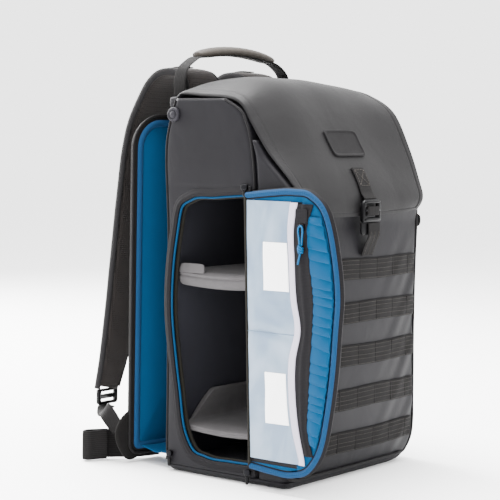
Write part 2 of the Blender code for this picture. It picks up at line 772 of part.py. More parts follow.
def pocket_x(over, reach, height):
    """The clear pocket swells between its seams."""
    across = np.clip(reach / seam("pocket", height), 0.0, 1.0)
    swell = np.sin(math.pi * across) * np.sin(math.pi * np.clip(height, 0.03, 0.97))
    return over - POCKET_BULGE * swell


def build_clear_pocket(over):
    """Frosted pocket between hinge and trim, with two plain label panels on it."""
    thick = 0.0009
    rows = np.linspace(0.062, 0.955, 13)
    share = np.linspace(0.0, 1.0, 6)
    start = 0.028
    reach = start + (seam("pocket", rows) - start)[:, None] * share
    height = np.repeat(rows[:, None], len(share), axis=1)
    points = door_place(pocket_x(over, reach, height), reach, height)
    sheet("clear_pocket", points, thick, FROSTED, offset=side_sign(points))

    for name, near, far, low, high in (("label_upper", 0.175, 0.455, 0.650, 0.832),
                                       ("label_lower", 0.215, 0.450, 0.185, 0.366)):
        rows = np.linspace(low, high, 5)
        reach, height = np.meshgrid(np.linspace(near, far, 5), rows)
        lift = over - thick - 2.5 * FIT
        points = door_place(pocket_x(lift, reach, height), reach, height)
        sheet(name, points, 0.0006, LABEL_WHITE, offset=side_sign(points))


def build_pull(over):
    """Zip garage, slider and knotted pull cord on the door's zip."""
    tape = over - 0.0013 - FIT
    y, z = 0.5 * (CORD_ROUTE[0][0] + CORD_ROUTE[-1][0]) + 0.0004, 0.3082
    block("zip_garage", (tape - 0.0014, y - 0.0068, z), (tape, y + 0.0090, z + 0.0150), ZIP_BLACK)
    block("cord_slider", (tape - 0.0016, y - 0.0034, z - 0.0080), (tape, y + 0.0034, z - FIT), METAL_DARK)
    centre = tape - 0.0016 - FIT - CORD_RADIUS
    route = [(centre, y, z) for y, z in CORD_ROUTE]
    tube("pull_cord", smooth_path(route, 22), CORD_RADIUS, CORD_CYAN, 2)
    tail = [(centre, y, z) for y, z in TAIL_ROUTE]
    tube("pull_tail", smooth_path(tail, 6), CORD_RADIUS, CORD_CYAN, 2)
    shape = bmesh.new()
    bmesh.ops.create_uvsphere(shape, u_segments=10, v_segments=8, radius=KNOT_RADIUS,
                              matrix=Matrix.Diagonal((0.82, 1.0, 1.27, 1.0)))
    knot = from_bmesh("pull_knot", shape, CORD_CYAN)
    knot.location = (tape - 0.82 * KNOT_RADIUS - FIT, *KNOT_CENTRE)


def build_sliders():
    """Zip sliders of the door and the laptop compartment, and the pocket's pull."""
    top = SILL_HEIGHT + OPENING_HEIGHT
    x = -HALF_WIDTH - 0.0012 - 2.5 * FIT
    y = hinge_y(top)
    slider_with_tab("door_slider_top", (x - 0.0045, y + 0.0030, top + 0.0035),
                    (x, y + 0.0120, top + 0.0100), -0.0040)
    y = hinge_y(SILL_HEIGHT)
    slider_with_tab("door_slider_bottom", (x - 0.0045, y + 0.0050, SILL_HEIGHT - 0.0090),
                    (x, y + 0.0140, SILL_HEIGHT - 0.0020), -0.0110)
    x = -HALF_WIDTH - FIT
    slider_with_tab("laptop_slider", (x - 0.0045, BACK_Y - 0.0110, 0.0185),
                    (x, BACK_Y - 0.0030, 0.0255), -0.0120)

    y = pocket_front(HALF_WIDTH, 0.304) + 0.0060
    outline = rounded_rectangle(0.0105, 0.0160, (0.005,) * 4)
    points = [(HALF_WIDTH + 0.0019, y + a, 0.304 + b) for a, b in outline]
    tab = plate("pocket_pull", points, 0.0032, TRIM_BLACK, offset=1.0)
    soften(tab, 0.0008)
    join(tab, block("pocket_pull_link", (HALF_WIDTH + FIT, y - 0.0015, 0.304 + 0.0065),
                    (HALF_WIDTH + 0.0040, y + 0.0015, 0.304 + 0.0155), TRIM_BLACK))


def slider_with_tab(name, low, high, tab_end):
    """A slider body with its cord tab hanging below, joined in one piece."""
    body = block(name, low, high, METAL_DARK)
    middle = (low[1] + high[1]) / 2
    tab = block(name + "_tab", (low[0] + 0.0006, middle - 0.0022, low[2] + tab_end),
                (low[0] + 0.0034, middle + 0.0022, low[2] + 0.0020), METAL_DARK)
    join(body, tab)


def build_flap():
    """Lid flap from the back seam over the crown, its patch, strap and buckle."""
    v = np.concatenate([np.linspace(0.0, 0.80, 13), [0.86, 0.92, 0.95, 0.975, 0.99, 1.0]])
    u = np.array([-1.0, -0.90, -0.60, -0.25, 0.0, 0.25, 0.60, 0.90, 1.0])
    grid_u, grid_v = np.meshgrid(u, v)
    points = flap_point(grid_u, grid_v)
    sheet("flap", points, FLAP_CLOTH, COATED, offset=1.0)

    lift = FIT + 0.0005
    half = PATCH_WIDTH / 2 / FLAP_RIGHT
    patch_v = front_v(np.linspace(PATCH_TOP, PATCH_TOP - PATCH_DROP, 4))
    on_flap("flap_patch", np.linspace(-half, half, 5), patch_v, lift, PATCH_THICKNESS, PATCH_GREY)

    rows = front_v(np.linspace(STRAP_TOP, BUCKLE_TOP + 0.010, 5))
    path = lifted(np.zeros(5), rows, lift + WEBBING)
    buckle_y = flap_point(0.0, 1.0)[1] - 2 * FIT - BUCKLE_THICKNESS / 2
    path = np.concatenate([path, [(0.0, buckle_y, BUCKLE_TOP + 2 * FIT)]])
    strap("flap_strap", path, (1.0, 0.0, 0.0), STRAP_WIDTH, WEBBING, WEBBING_BLACK)
    build_buckle(buckle_y, BUCKLE_TOP)


def front_v(z):
    """Where along the flap its middle line passes a height, on its front."""
    v = np.linspace(0.45, 1.0, 80)
    heights = flap_point(np.zeros(80), v)[:, 2]
    return np.interp(-z, -heights, v)


def lifted(u, v, distance):
    """Points over the flap's outer face, at a distance along its normal."""
    step = 0.004
    here = flap_point(u, v)
    along = flap_point(u, v + step) - flap_point(u, v - step)
    across = flap_point(u + step, v) - flap_point(u - step, v)
    normal = np.cross(across, along)
    normal /= np.linalg.norm(normal, axis=-1, keepdims=True)
    outward = np.where(normal[..., 1:2] > 0, -normal, normal)
    return here + distance * outward


def on_flap(name, u, v, lift, thickness, finish):
    """A flat piece sewn on the flap."""
    grid_u, grid_v = np.meshgrid(u, v)
    sheet(name, lifted(grid_u, grid_v, lift + thickness / 2), thickness, finish)


def build_buckle(y, top):
    """Ladder buckle with two windows, the hook behind it and the strap sewn to the pocket."""
    centre = top - BUCKLE_HEIGHT / 2
    outline = rounded_rectangle(BUCKLE_WIDTH, BUCKLE_HEIGHT, (0.003, 0.009, 0.009, 0.003))
    points = [(a, y + BUCKLE_THICKNESS / 2, centre + b) for a, b in outline]
    buckle = plate("flap_buckle", points, BUCKLE_THICKNESS, BUCKLE_BLACK, offset=1.0)
    window = BUCKLE_WIDTH - 0.011
    for name, low, high in (("upper_window", 0.62, 0.84), ("lower_window", 0.22, 0.46)):
        cut(buckle, block(name, (-window / 2, y - 0.02, top - BUCKLE_HEIGHT * (1 - low)),
                          (window / 2, y + 0.02, top - BUCKLE_HEIGHT * (1 - high)), BUCKLE_BLACK))
    foot = top - BUCKLE_HEIGHT - FIT
    block("hook_tongue", (-BUCKLE_WIDTH / 2 + 0.001, y + 0.0002, foot - 0.0150),
          (BUCKLE_WIDTH / 2 - 0.001, y + 0.0024, foot), METAL_DARK, 0.0008)
    end = ROW_TOP + 0.0030
    front = y - 0.0020
    route = [(0.004, front, foot - 0.0005), (0.004, front + 0.0005, foot - 0.017),
             (0.004, pocket_front(0.0, end) - 0.0070, end + 0.0140),
             (0.004, pocket_front(0.0, end) - 0.0020, end)]
    strap("pocket_strap", smooth_path(route, 7), (1.0, 0.0, 0.0), STRAP_WIDTH, WEBBING, WEBBING_BLACK)


def build_webbing_rows():
    """Five rows of webbing across the pocket's face."""
    x = np.linspace(-HALF_WIDTH + EDGE_RADIUS + 0.002, HALF_WIDTH - EDGE_RADIUS - 0.002, 11)
    for row in range(ROW_COUNT):
        top = ROW_TOP - row * ROW_PITCH
        z = np.linspace(top - ROW_HEIGHT, top, 2)
        right_limit = right_side(z[0]) - EDGE_RADIUS - 0.004
        grid_x, grid_z = np.meshgrid(np.minimum(x, right_limit - (HALF_WIDTH - x) * 0.01), z)
        y = pocket_front(grid_x, grid_z) - 0.0009
        points = np.stack([grid_x, y, grid_z], axis=-1)
        sheet(f"webbing_row_{row + 1}", points, WEBBING, WEBBING_BLACK, offset=1.0)


# Anchor wing outline: reach out from the panel's edge as a share of ANCHOR_REACH, height as a
# share of ANCHOR_LENGTH. Belt's folded end: reach out and behind as shares of BELT_REACH.
ANCHOR_OUTLINE = table(
    "across height",
    (1.00, 0.625), (0.65, 0.250), (0.10, 0.046875), (-2.00, 0.15625), (-2.00, 0.9375), (0.00, 1.000))
BELT_LOOP = table(
    "across behind",
    (-1.375, 0.300), (-0.950, 0.310), (-0.500, 0.450), (0.000, 0.775), (0.500, 1.100),
    (0.825, 1.200), (1.000, 1.075), (0.925, 0.925), (0.700, 0.875), (0.350, 0.750))


def build_harness_panel():
    """Board swung about its right edge, its lining, binding, hinge, floor and back pads."""
    height = PANEL_TOP - PANEL_BOTTOM
    middle = (PANEL_TOP + PANEL_BOTTOM) / 2
    radii = (0.012, PANEL_CORNER, PANEL_CORNER, 0.012)

    def panel_plate(name, inset, behind, thickness, finish):
        outline = rounded_rectangle(PANEL_WIDTH - 2 * inset, height - 2 * inset,
                                    [max(r - inset, 0.004) for r in radii])
        points = on_panel(PANEL_WIDTH / 2 - outline[:, 0], behind, middle + outline[:, 1])
        return plate(name, points, thickness, finish, offset=0.0)

    board = panel_plate("harness_panel", 0.0, PANEL_BOARD / 2, PANEL_BOARD, HARNESS_BLACK)
    for name, edge, out in (("left", PANEL_WIDTH, 1), ("right", 0.0, -1)):
        points = [on_panel(edge + out * a * ANCHOR_REACH, PANEL_BOARD / 2, b * ANCHOR_LENGTH)
                  for a, b in zip(ANCHOR_OUTLINE["across"], ANCHOR_OUTLINE["height"])]
        join(board, plate("anchor_wing_" + name, points, ANCHOR_CLOTH, HARNESS_BLACK))
    panel_plate("panel_lining", 0.0135, -LINING / 2 - FIT, LINING, LINING_TEAL)
    rings = []
    for inset in (0.0050, 0.0125):
        outline = rounded_rectangle(PANEL_WIDTH - 2 * inset, height - 2 * inset,
                                    [max(r - inset, 0.004) for r in radii])
        outline = np.concatenate([outline, outline[:1]])
        rings.append(on_panel(PANEL_WIDTH / 2 - outline[:, 0], -FIT - 0.00125, middle + outline[:, 1]))
    shape, _ = grid(np.stack(rings, axis=1))
    bmesh.ops.remove_doubles(shape, verts=shape.verts, dist=0.00001)
    thicken(from_bmesh("panel_binding", shape, BINDING_BLUE), 0.0025, 0.0)

    hinge_x = HALF_WIDTH - HINGE_STRIP_INSET
    z = np.array([0.090, 0.225, 0.482, 0.663, 0.766, 0.842, 0.893]) * BODY_HEIGHT
    near = np.stack([np.full(len(z), hinge_x), main_back(z) + HINGE_STRIP_STANDOFF, z], axis=1)
    far = on_panel(HINGE_STRIP_LAP, -LINING_CLEARANCE - HINGE_STRIP_CLOTH / 2, z)
    mid = 0.5 * (near + far)
    sheet("panel_hinge", np.stack([near, mid, far], axis=1), HINGE_STRIP_CLOTH, HARNESS_BLACK)

    back = main_back(PANEL_BOTTOM) + GUSSET_RISE / 10
    corners = [(hinge_x, back, 0), (-HALF_WIDTH + HINGE_STRIP_INSET / 2, back, 0)]
    left = on_panel(PANEL_WIDTH - 1.75 * GUSSET_RISE, -LINING_CLEARANCE, 0)
    right = on_panel(2.25 * GUSSET_RISE, -LINING_CLEARANCE, 0)
    outline = [(x, y, PANEL_BOTTOM + GUSSET_RISE) for x, y, _ in (*corners, left, right)]
    plate("laptop_floor", outline, GUSSET_CLOTH, LINING_TEAL, offset=0.0)

    for name, place in (("back_pad_right", -1), ("back_pad_left", 1)):
        outline = rounded_rectangle(PAD_WIDTH, 0.76 * height, (0.020, 0.030, 0.030, 0.020))
        across = PANEL_WIDTH / 2 + place * (PAD_WIDTH + PAD_GAP) / 2
        points = on_panel(across - outline[:, 0], PANEL_BOARD + PAD_THICKNESS / 2 + FIT,
                          middle + 0.018 + outline[:, 1])
        soften(plate(name, points, PAD_THICKNESS, AIR_MESH), 0.004)


def build_harness(side, name):
    """One side's shoulder strap with adjuster, lower webbing and belt."""
    rows = SHOULDER_SECTIONS
    path = smooth_path(np.stack([side * BODY_WIDTH * rows["spread"],
                                 BACK_Y + BODY_WIDTH * rows["behind"],
                                 BODY_HEIGHT * rows["height"]], axis=1), 25)
    width = BODY_WIDTH * np.interp(np.linspace(0, 1, 25), np.linspace(0, 1, len(rows["width"])),
                                   rows["width"])
    strap("shoulder_strap_" + name, path, (1.0, 0.0, 0.0), width, SHOULDER_PAD, AIR_MESH)

    end = path[-1]
    low = end[2] - FIT - WEBBING / 2
    half, deep = ADJUSTER_WIDTH / 2, ADJUSTER_THICKNESS / 2
    adjuster = block("adjuster_" + name, (end[0] - half, end[1] - deep, low - ADJUSTER_HEIGHT),
                     (end[0] + half, end[1] + deep, low), BUCKLE_BLACK, 0.0012)
    for slot, share in (("upper", 0.62), ("lower", 0.16)):
        high = low - ADJUSTER_HEIGHT * share
        cut(adjuster, block(f"{slot}_slot_{name}",
                            (end[0] - 0.75 * half, end[1] - 8 * deep, high - ADJUSTER_SLOT),
                            (end[0] + 0.75 * half, end[1] + 8 * deep, high), BUCKLE_BLACK))

    edge = PANEL_WIDTH if side < 0 else 0.0
    out = 1 if side < 0 else -1
    tip = on_panel(edge + out * 0.65 * ANCHOR_REACH,
                   PANEL_BOARD / 2 + 1.05 * ANCHOR_CLOTH + WEBBING / 2, 0.65625 * ANCHOR_LENGTH)
    start = np.array([end[0], end[1], low - ADJUSTER_HEIGHT - 4 * FIT])
    middle_one = 0.65 * start + 0.35 * tip + LOWER_WIDTH * np.array([side * 0.3, 0.3, 0.2])
    middle_two = 0.30 * start + 0.70 * tip + LOWER_WIDTH * np.array([side * 0.5, 0.3, 0.7])
    route = smooth_path([start, middle_one, middle_two, tip], 11)
    turn = np.linspace(0.0, 1.0, 11)[:, None]
    across = (1 - turn) * np.array([1.0, 0.0, 0.0]) + turn * np.array([0.0, 0.0, 1.0])
    strap("lower_webbing_" + name, route, across, LOWER_WIDTH, WEBBING, WEBBING_BLACK)

    belt = zip(BELT_LOOP["across"] * BELT_REACH, BELT_LOOP["behind"] * BELT_REACH)
    base = smooth_path([on_panel(edge + out * a, b, BELT_CLEARANCE + BELT_HEIGHT / 2) for a, b in belt], 21)
    strap("belt_" + name, base, (0.0, 0.0, 1.0), BELT_HEIGHT, BELT_THICKNESS, HARNESS_BLACK)


def build_top():
    """Yoke behind the body's top edge and the grab handle that stands on it."""
    top = 1.0090 * BODY_HEIGHT
    yoke_front = main_back(top - YOKE_HEIGHT) + 2 * FIT
    block("yoke", (-YOKE_WIDTH / 2, yoke_front, top - YOKE_HEIGHT),
          (YOKE_WIDTH / 2, yoke_front + YOKE_DEPTH, top), COATED, 0.002)

    y = yoke_front + YOKE_DEPTH / 2 + 0.0010
    foot = top + FIT
    half = HANDLE_SPAN / 2
    grip = 0.72 * half
    rise = HANDLE_RISE
    x = np.linspace(-grip, grip, 13)
    arch = 0.865 + 0.135 * (1 - (x / grip) ** 2)
    ends = np.array([(half, 0.0), (half + 0.001, 0.30), (half - 0.004, 0.55), (0.84 * half, 0.72)])
    under = np.stack([x, foot + rise * arch - 0.72 * GRIP_RADIUS - 1.5 * FIT - WEBBING / 2], axis=1)
    rising = np.stack([-ends[:, 0], foot + rise * ends[:, 1]], axis=1)
    route = np.concatenate([rising, under, rising[::-1] * (-1, 1)])
    path = smooth_path(np.stack([route[:, 0], np.full(len(route), y), route[:, 1]], axis=1), 36)
    strap("handle_webbing", path, (0.0, 1.0, 0.0), HANDLE_WEBBING, WEBBING, WEBBING_BLACK)
    rings = []
    turn = np.radians(np.arange(0, 360, 36))
    for place, h in zip(x, arch):
        neck = 0.50 + 0.50 * math.sqrt(max(0.0, 1 - (abs(place) / grip) ** 4))
        rings.append([(place, y + 1.35 * GRIP_RADIUS * neck * math.sin(t),
                       foot + rise * h + 0.72 * GRIP_RADIUS * neck * math.cos(t)) for t in turn])
    shape, verts = grid(rings, around=True)
    shape.faces.new(verts[:len(turn)])
    shape.faces.new(verts[-len(turn):])
    from_bmesh("handle_grip", shape, COATED)


for leftover in list(bpy.data.objects):
    bpy.data.objects.remove(leftover, do_unlink=True)
PART = bpy.data.collections.new("camera_backpack")
CUTTERS = bpy.data.collections.new("cutters")
bpy.context.scene.collection.children.link(PART)
bpy.context.scene.collection.children.link(CUTTERS)

COATED = material("coated_cloth", "#4A484D", 0.55)
TRIM_BLACK = material("trim_black", "#2A2728", 0.6)
ZIP_BLACK = material("zip_tape", "#343133", 0.7)
WEBBING_BLACK = material("webbing", "#2F2B28", 0.8)
HARNESS_BLACK = material("harness_cloth", "#2B2724", 0.85)
AIR_MESH = material("air_mesh", "#2A2725", 0.9)
DIVIDER = material("brushed_divider", "#77747A", 0.95)
RIM_BROWN = material("insert_binding", "#4A463F", 0.85)
BLUE_PIPING = material("blue_piping", "#1F7FB8", 0.6)
BINDING_BLUE = material("blue_binding", "#3A74B8", 0.75)
LINING_TEAL = material("teal_lining", "#0A87B8", 0.7)
FROSTED = material("frosted_film", "#C9D7E0", 0.35)
LABEL_WHITE = material("label_white", "#F6F6F8", 0.5)
TRIM_PALE = material("pale_trim", "#DCDCE4", 0.6)
CORD_CYAN = material("cyan_cord", "#16A6E0", 0.6)
METAL_DARK = material("dark_metal", "#3A3A3D", 0.4, 0.8)
BUCKLE_BLACK = material("moulded_black", "#1E1C1C", 0.45)
RING_GREY = material("ring_grey", "#6A6A70", 0.4, 0.3)
PATCH_GREY = material("rubber_patch", "#3E3B3F", 0.6)

build_body()
build_compartment()
build_door()
build_sliders()
build_flap()
build_webbing_rows()
build_harness_panel()
build_harness(-1, "left")
build_harness(1, "right")
build_top()
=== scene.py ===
"""Looks of the camera backpack: door folded open flat, laptop panel swung away from the back.

Metres, +Z up, front towards -Y, the wearer's back towards +Y, origin at the centre of the base.
"""
import math

import bmesh
import bpy
import numpy as np
from mathutils import Matrix


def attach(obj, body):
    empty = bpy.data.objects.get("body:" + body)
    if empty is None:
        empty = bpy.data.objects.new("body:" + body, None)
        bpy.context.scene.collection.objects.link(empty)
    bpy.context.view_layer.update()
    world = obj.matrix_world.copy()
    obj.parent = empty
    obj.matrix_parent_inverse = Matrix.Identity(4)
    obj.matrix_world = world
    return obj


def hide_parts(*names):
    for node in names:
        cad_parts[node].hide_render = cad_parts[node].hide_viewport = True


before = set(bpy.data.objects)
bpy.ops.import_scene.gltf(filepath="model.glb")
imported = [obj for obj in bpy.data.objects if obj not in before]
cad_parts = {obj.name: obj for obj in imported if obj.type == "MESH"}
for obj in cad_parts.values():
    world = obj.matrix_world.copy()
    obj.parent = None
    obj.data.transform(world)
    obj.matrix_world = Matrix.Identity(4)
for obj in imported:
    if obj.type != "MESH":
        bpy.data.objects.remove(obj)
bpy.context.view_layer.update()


# Camera: it stands in front of the pack's left front corner, a little above the middle, and
# looks slightly down. Its place was worked out from the photograph's straight edges.
CAMERA_PLACE = (-1.58477, -1.13308, 0.39841)
CAMERA_HEADING = math.radians(52.7228)
CAMERA_DIP = math.radians(3.9158)
CAMERA_TILT = math.radians(1.0567)
CAMERA_SENSOR = 36.0
CAMERA_FOCAL_SHARE = 1585.56 / 500.0


def camera_matrix():
    """Columns right, up and back: a level heading, dipped, then turned about the line of sight."""
    ahead = np.array([math.sin(CAMERA_HEADING) * math.cos(CAMERA_DIP),
                      math.cos(CAMERA_HEADING) * math.cos(CAMERA_DIP), -math.sin(CAMERA_DIP)])
    level = np.array([math.cos(CAMERA_HEADING), -math.sin(CAMERA_HEADING), 0.0])
    upright = np.cross(level, ahead)
    right = math.cos(CAMERA_TILT) * level + math.sin(CAMERA_TILT) * upright
    up = -math.sin(CAMERA_TILT) * level + math.cos(CAMERA_TILT) * upright
    turn = np.stack([right, up, -ahead], axis=1)
    return Matrix.Translation(CAMERA_PLACE) @ Matrix(turn.tolist()).to_4x4()


lens = bpy.data.cameras.new("photo_camera")
lens.sensor_width = CAMERA_SENSOR
lens.lens = CAMERA_SENSOR * CAMERA_FOCAL_SHARE
photo_camera = bpy.data.objects.new("photo_camera", lens)
photo_camera.matrix_world = camera_matrix()
bpy.context.scene.collection.objects.link(photo_camera)
bpy.context.scene.camera = photo_camera


# Pull cord: 2 mm braided polyester, passed through the slider's eye as a loop, tied off in a
# wrapped knot, with one cut end hanging below it. It is the brightest thing on the door.
CORD_THICKNESS = 0.002
CORD_X = -0.15525
CORD_COLOUR = "#00649a"
CORD_LOOP = ((-0.1166, 0.2844), (-0.1168, 0.2900), (-0.1172, 0.2960), (-0.1173, 0.3010),
             (-0.1165, 0.3045), (-0.1143, 0.3060), (-0.1121, 0.3045), (-0.1114, 0.3010),
             (-0.1120, 0.2960), (-0.1132, 0.2900), (-0.1138, 0.2844))
CORD_TAIL = ((-0.1146, 0.2790), (-0.1146, 0.2744), (-0.1136, 0.2705), (-0.1127, 0.2665),
             (-0.1120, 0.2628))
KNOT_PLACE = (-0.1152, 0.2796)
KNOT_TURNS = 3.5


def hermite(xs, ys, at):
    """Smooth curve through the points (xs, ys), read at the places at: cubic between two
    points, with the slope at each taken from its neighbours."""
    xs, ys = np.asarray(xs, dtype=float), np.asarray(ys, dtype=float)
    slopes = np.gradient(ys, xs)
    at = np.clip(at, xs[0], xs[-1])
    cell = np.clip(np.searchsorted(xs, at, side="right") - 1, 0, len(xs) - 2)
    span = xs[cell + 1] - xs[cell]
    t = (at - xs[cell]) / span
    start = (1 + 2 * t) * (1 - t) ** 2 * ys[cell] + t * (1 - t) ** 2 * span * slopes[cell]
    end = t * t * (3 - 2 * t) * ys[cell + 1] - t * t * (1 - t) * span * slopes[cell + 1]
    return start + end


def arc(points):
    """Distance run along a path, at each of its points."""
    return np.concatenate([[0.0], np.cumsum(np.linalg.norm(np.diff(points, axis=0), axis=1))])


def unit(vectors):
    """The same directions at length one."""
    return vectors / np.linalg.norm(vectors, axis=-1, keepdims=True)


def along(points, count):
    """Count evenly spaced points on the smooth curve through the given points."""
    points = np.asarray(points, dtype=float)
    place = arc(points)
    at = np.linspace(0.0, place[-1], count)
    return np.stack([hermite(place, column, at) for column in points.T], axis=1)


def surface(name, points, around=False, ends=False, looped=False):
    """Mesh over a grid of points, rows by columns. Around closes each row on itself, looped
    closes the last row on the first, ends puts a flat face on the first and last row. Its UV
    map holds metres: along the row first, then across the rows, both at the mean spacing."""
    points = np.asarray(points, dtype=float)
    rows, columns = points.shape[:2]
    grid = np.arange(rows * columns).reshape(rows, columns)
    if around:
        grid = np.concatenate([grid, grid[:, :1]], axis=1)
    if looped:
        grid = np.concatenate([grid, grid[:1]], axis=0)
    quads = np.stack([grid[:-1, :-1], grid[:-1, 1:], grid[1:, 1:], grid[1:, :-1]], axis=-1)
    faces = quads.reshape(-1, 4).tolist()
    if ends:
        faces += [grid[0, :columns][::-1].tolist(), grid[-1, :columns].tolist()]
    mesh = bpy.data.meshes.new(name)
    mesh.from_pydata(points.reshape(-1, 3).tolist(), [], faces)

    def spread(array, axis):
        step = np.linalg.norm(np.diff(array, axis=axis), axis=-1).mean(axis=1 - axis)
        return np.concatenate([[0.0], np.cumsum(step)])

    full = np.concatenate([points, points[:, :1]], axis=1) if around else points
    full = np.concatenate([full, full[:1]], axis=0) if looped else full
    u, v = spread(full, 1), spread(full, 0)
    uv = np.stack(np.meshgrid(u, v), axis=-1)
    corners = np.stack([uv[:-1, :-1], uv[:-1, 1:], uv[1:, 1:], uv[1:, :-1]], axis=2)
    flat = corners.reshape(-1, 2)
    layer = mesh.uv_layers.new(name="metres")
    values = np.zeros((len(mesh.loops), 2))
    values[:len(flat)] = flat
    layer.data.foreach_set("uv", values.ravel())
    mesh.polygons.foreach_set("use_smooth", np.ones(len(mesh.polygons), dtype=bool))
    piece = bpy.data.objects.new(name, mesh)
    bpy.context.scene.collection.objects.link(piece)
    return piece


def swept(name, path, across, profile, scale=None, looped=False):
    """A closed profile carried along a path: its first axis lies on across, its second on the
    product of the path's direction and across; scale sizes both axes point by point."""
    path, profile = np.asarray(path, dtype=float), np.asarray(profile, dtype=float)
    if looped:
        run = np.roll(path, -1, axis=0) - np.roll(path, 1, axis=0)
    else:
        run = np.gradient(path, axis=0)
    run = unit(run)
    across = np.broadcast_to(np.asarray(across, dtype=float), path.shape)
    across = unit(across - np.sum(across * run, axis=1, keepdims=True) * run)
    over = np.cross(run, across)
    size = np.ones((len(path), 2)) if scale is None else np.asarray(scale, dtype=float)
    first = across[:, None, :] * (profile[None, :, 0] * size[:, None, 0])[..., None]
    second = over[:, None, :] * (profile[None, :, 1] * size[:, None, 1])[..., None]
    return surface(name, path[:, None, :] + first + second, around=True, ends=not looped,
                   looped=looped)


def circle(radius, count):
    """Round profile: cosine and sine of even turns."""
    turn = np.linspace(0.0, 2 * math.pi, count, endpoint=False)
    return radius * np.stack([np.cos(turn), np.sin(turn)], axis=1)


def tube(name, path, radius, sides=10, looped=False):
    """A round cord, piping or roll along a path."""
    return swept(name, path, (1.0, 0.0, 0.0), circle(radius, sides), looped=looped)


def linear(shade):
    """An sRGB hex colour as the linear values that a shader takes."""
    share = np.array([int(shade[i:i + 2], 16) for i in (1, 3, 5)]) / 255
    values = np.where(share <= 0.04045, share / 12.92, ((share + 0.055) / 1.055) ** 2.4)
    return (*values.tolist(), 1.0)


def add(tree, kind, links=None, settings=None):
    """Add one shader node: settings are its properties or the values of its inputs by name,
    links name the outputs that feed its inputs."""
    made = tree.nodes.new(kind)
    for key, value in (settings or {}).items():
        if isinstance(key, str) and hasattr(made, key):
            setattr(made, key, value)
        else:
            made.inputs[key].default_value = value
    for key, output in (links or {}).items():
        tree.links.new(output, made.inputs[key])
    return made


def new_material(name, colour, roughness, **sockets):
    """A Principled material with its constant values; returns it with its tree and shader."""
    made = bpy.data.materials.new(name)
    made.use_nodes = True
    tree = made.node_tree
    shader = tree.nodes["Principled BSDF"]
    shader.inputs["Base Color"].default_value = linear(colour)
    shader.inputs["Roughness"].default_value = roughness
    for key, value in sockets.items():
        shader.inputs[key.replace("_", " ")].default_value = value
    return made, tree, shader


def relief_with_painted_dip_shade(tree, shader, pattern, low, high, strength, distance):
    """Relief from one pattern, with painted shade: the low colour is painted into its dips as the
    shade that falls there, the high one on its ridges.
    """
    mixed = add(tree, "ShaderNodeMix", {"Factor": pattern}, {"data_type": "RGBA"})
    mixed.inputs[6].default_value = linear(low)
    mixed.inputs[7].default_value = linear(high)
    tree.links.new(mixed.outputs[2], shader.inputs["Base Color"])
    bump = add(tree, "ShaderNodeBump", {"Height": pattern},
               {"Strength": strength, "Distance": distance})
    tree.links.new(bump.outputs[0], shader.inputs["Normal"])


def braided_cord(name, shade, pitch):
    """Braided polyester: two crossed sets of diagonal ridges on the cord's own UV map, with a
    darker blue painted into the dips between them as shade.
    """
    made, tree, shader = new_material(name, shade, 0.55, Sheen_Weight=0.02, Specular_IOR_Level=0.08)
    place = add(tree, "ShaderNodeTexCoord").outputs["UV"]
    ridges = [add(tree, "ShaderNodeTexWave", {"Vector": add(
        tree, "ShaderNodeMapping", {"Vector": place}, {"Rotation": (0, 0, turn)}).outputs[0]},
        {"Scale": 0.314 / pitch, "Distortion": 0.0}).outputs["Fac"] for turn in (0.7, -0.7)]
    mixed = add(tree, "ShaderNodeMath", {0: ridges[0], 1: ridges[1]}, {"operation": "MULTIPLY"})
    # The darker blue is painted shade in the dips between the ridges.
    relief_with_painted_dip_shade(tree, shader, mixed.outputs[0], "#003f66", shade, 0.8, 0.0004)
    return made


def dress(piece, slot, *nodes, finish=None):
    """Give a piece its material, let it ride on the pack and stand for its solids."""
    if finish is not None:
        piece.data.materials.append(finish)
    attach(piece, "root")
    if nodes:
        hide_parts(*nodes)
    return piece


cord_cyan = braided_cord("braided_polyester_cyan", CORD_COLOUR, 0.0014)
cord_route = along([(CORD_X, y, z) for y, z in CORD_LOOP + CORD_TAIL], 72)
pull_cord = tube("cord_loop", cord_route, CORD_THICKNESS / 2, 12)
dress(pull_cord, "cyan_cord", "pull_cord", "pull_tail", finish=cord_cyan)


def knot_path():
    """Wrapped knot: a helix about the hanging strands, its turns leaning and bulging at the
    middle, drawn a little flatter towards the door."""
    t = np.linspace(0.0, 1.0, 90)
    turn = 2 * math.pi * KNOT_TURNS * t
    radius = 0.0021 + 0.0009 * np.sin(math.pi * t)
    x = CORD_X - 0.0002 + 0.8 * radius * np.cos(turn)
    y = KNOT_PLACE[0] + radius * np.sin(turn)
    z = KNOT_PLACE[1] + 0.0042 - 0.0082 * t + 0.0008 * np.sin(turn)
    return np.stack([x, y, z], axis=1)


cord_knot = swept("cord_knot", knot_path(), (0.0, 0.0, 1.0), circle(CORD_THICKNESS / 2, 10))
dress(cord_knot, "cyan_cord", "pull_knot", finish=cord_cyan)


# Main compartment: foam-padded coated nylon, sewn up as a tall box with rounded edges. The side
# panels swell a little between their seams; the left one is cut out for the camera door.
BODY_WIDTH = 0.271
BODY_HEIGHT = 0.448
HALF_WIDTH = BODY_WIDTH / 2
MAIN_DEPTH = 0.1375
POCKET_DEPTH = 0.0455
BACK_Y = (MAIN_DEPTH + POCKET_DEPTH) / 2
FRONT_Y = -BACK_Y
MAIN_FRONT_Y = BACK_Y - MAIN_DEPTH
EDGE_RADIUS = 0.007
SHELL_WALL = 0.0048
SHELL_FLOOR = 0.0092
SIDE_SEAM_HEIGHT = 0.342
SIDE_SWELL = 0.0016
LEFT_FOOT_RADIUS = 0.012
RIGHT_FOOT_RADIUS = 0.042
COATED_COLOUR = "#0f0e11"
LINING_COLOUR = "#34343b"


def table(columns, *rows):
    """A named table: each column is an array, one value for each row."""
    return dict(zip(columns.split(), np.array(rows, dtype=float).T))


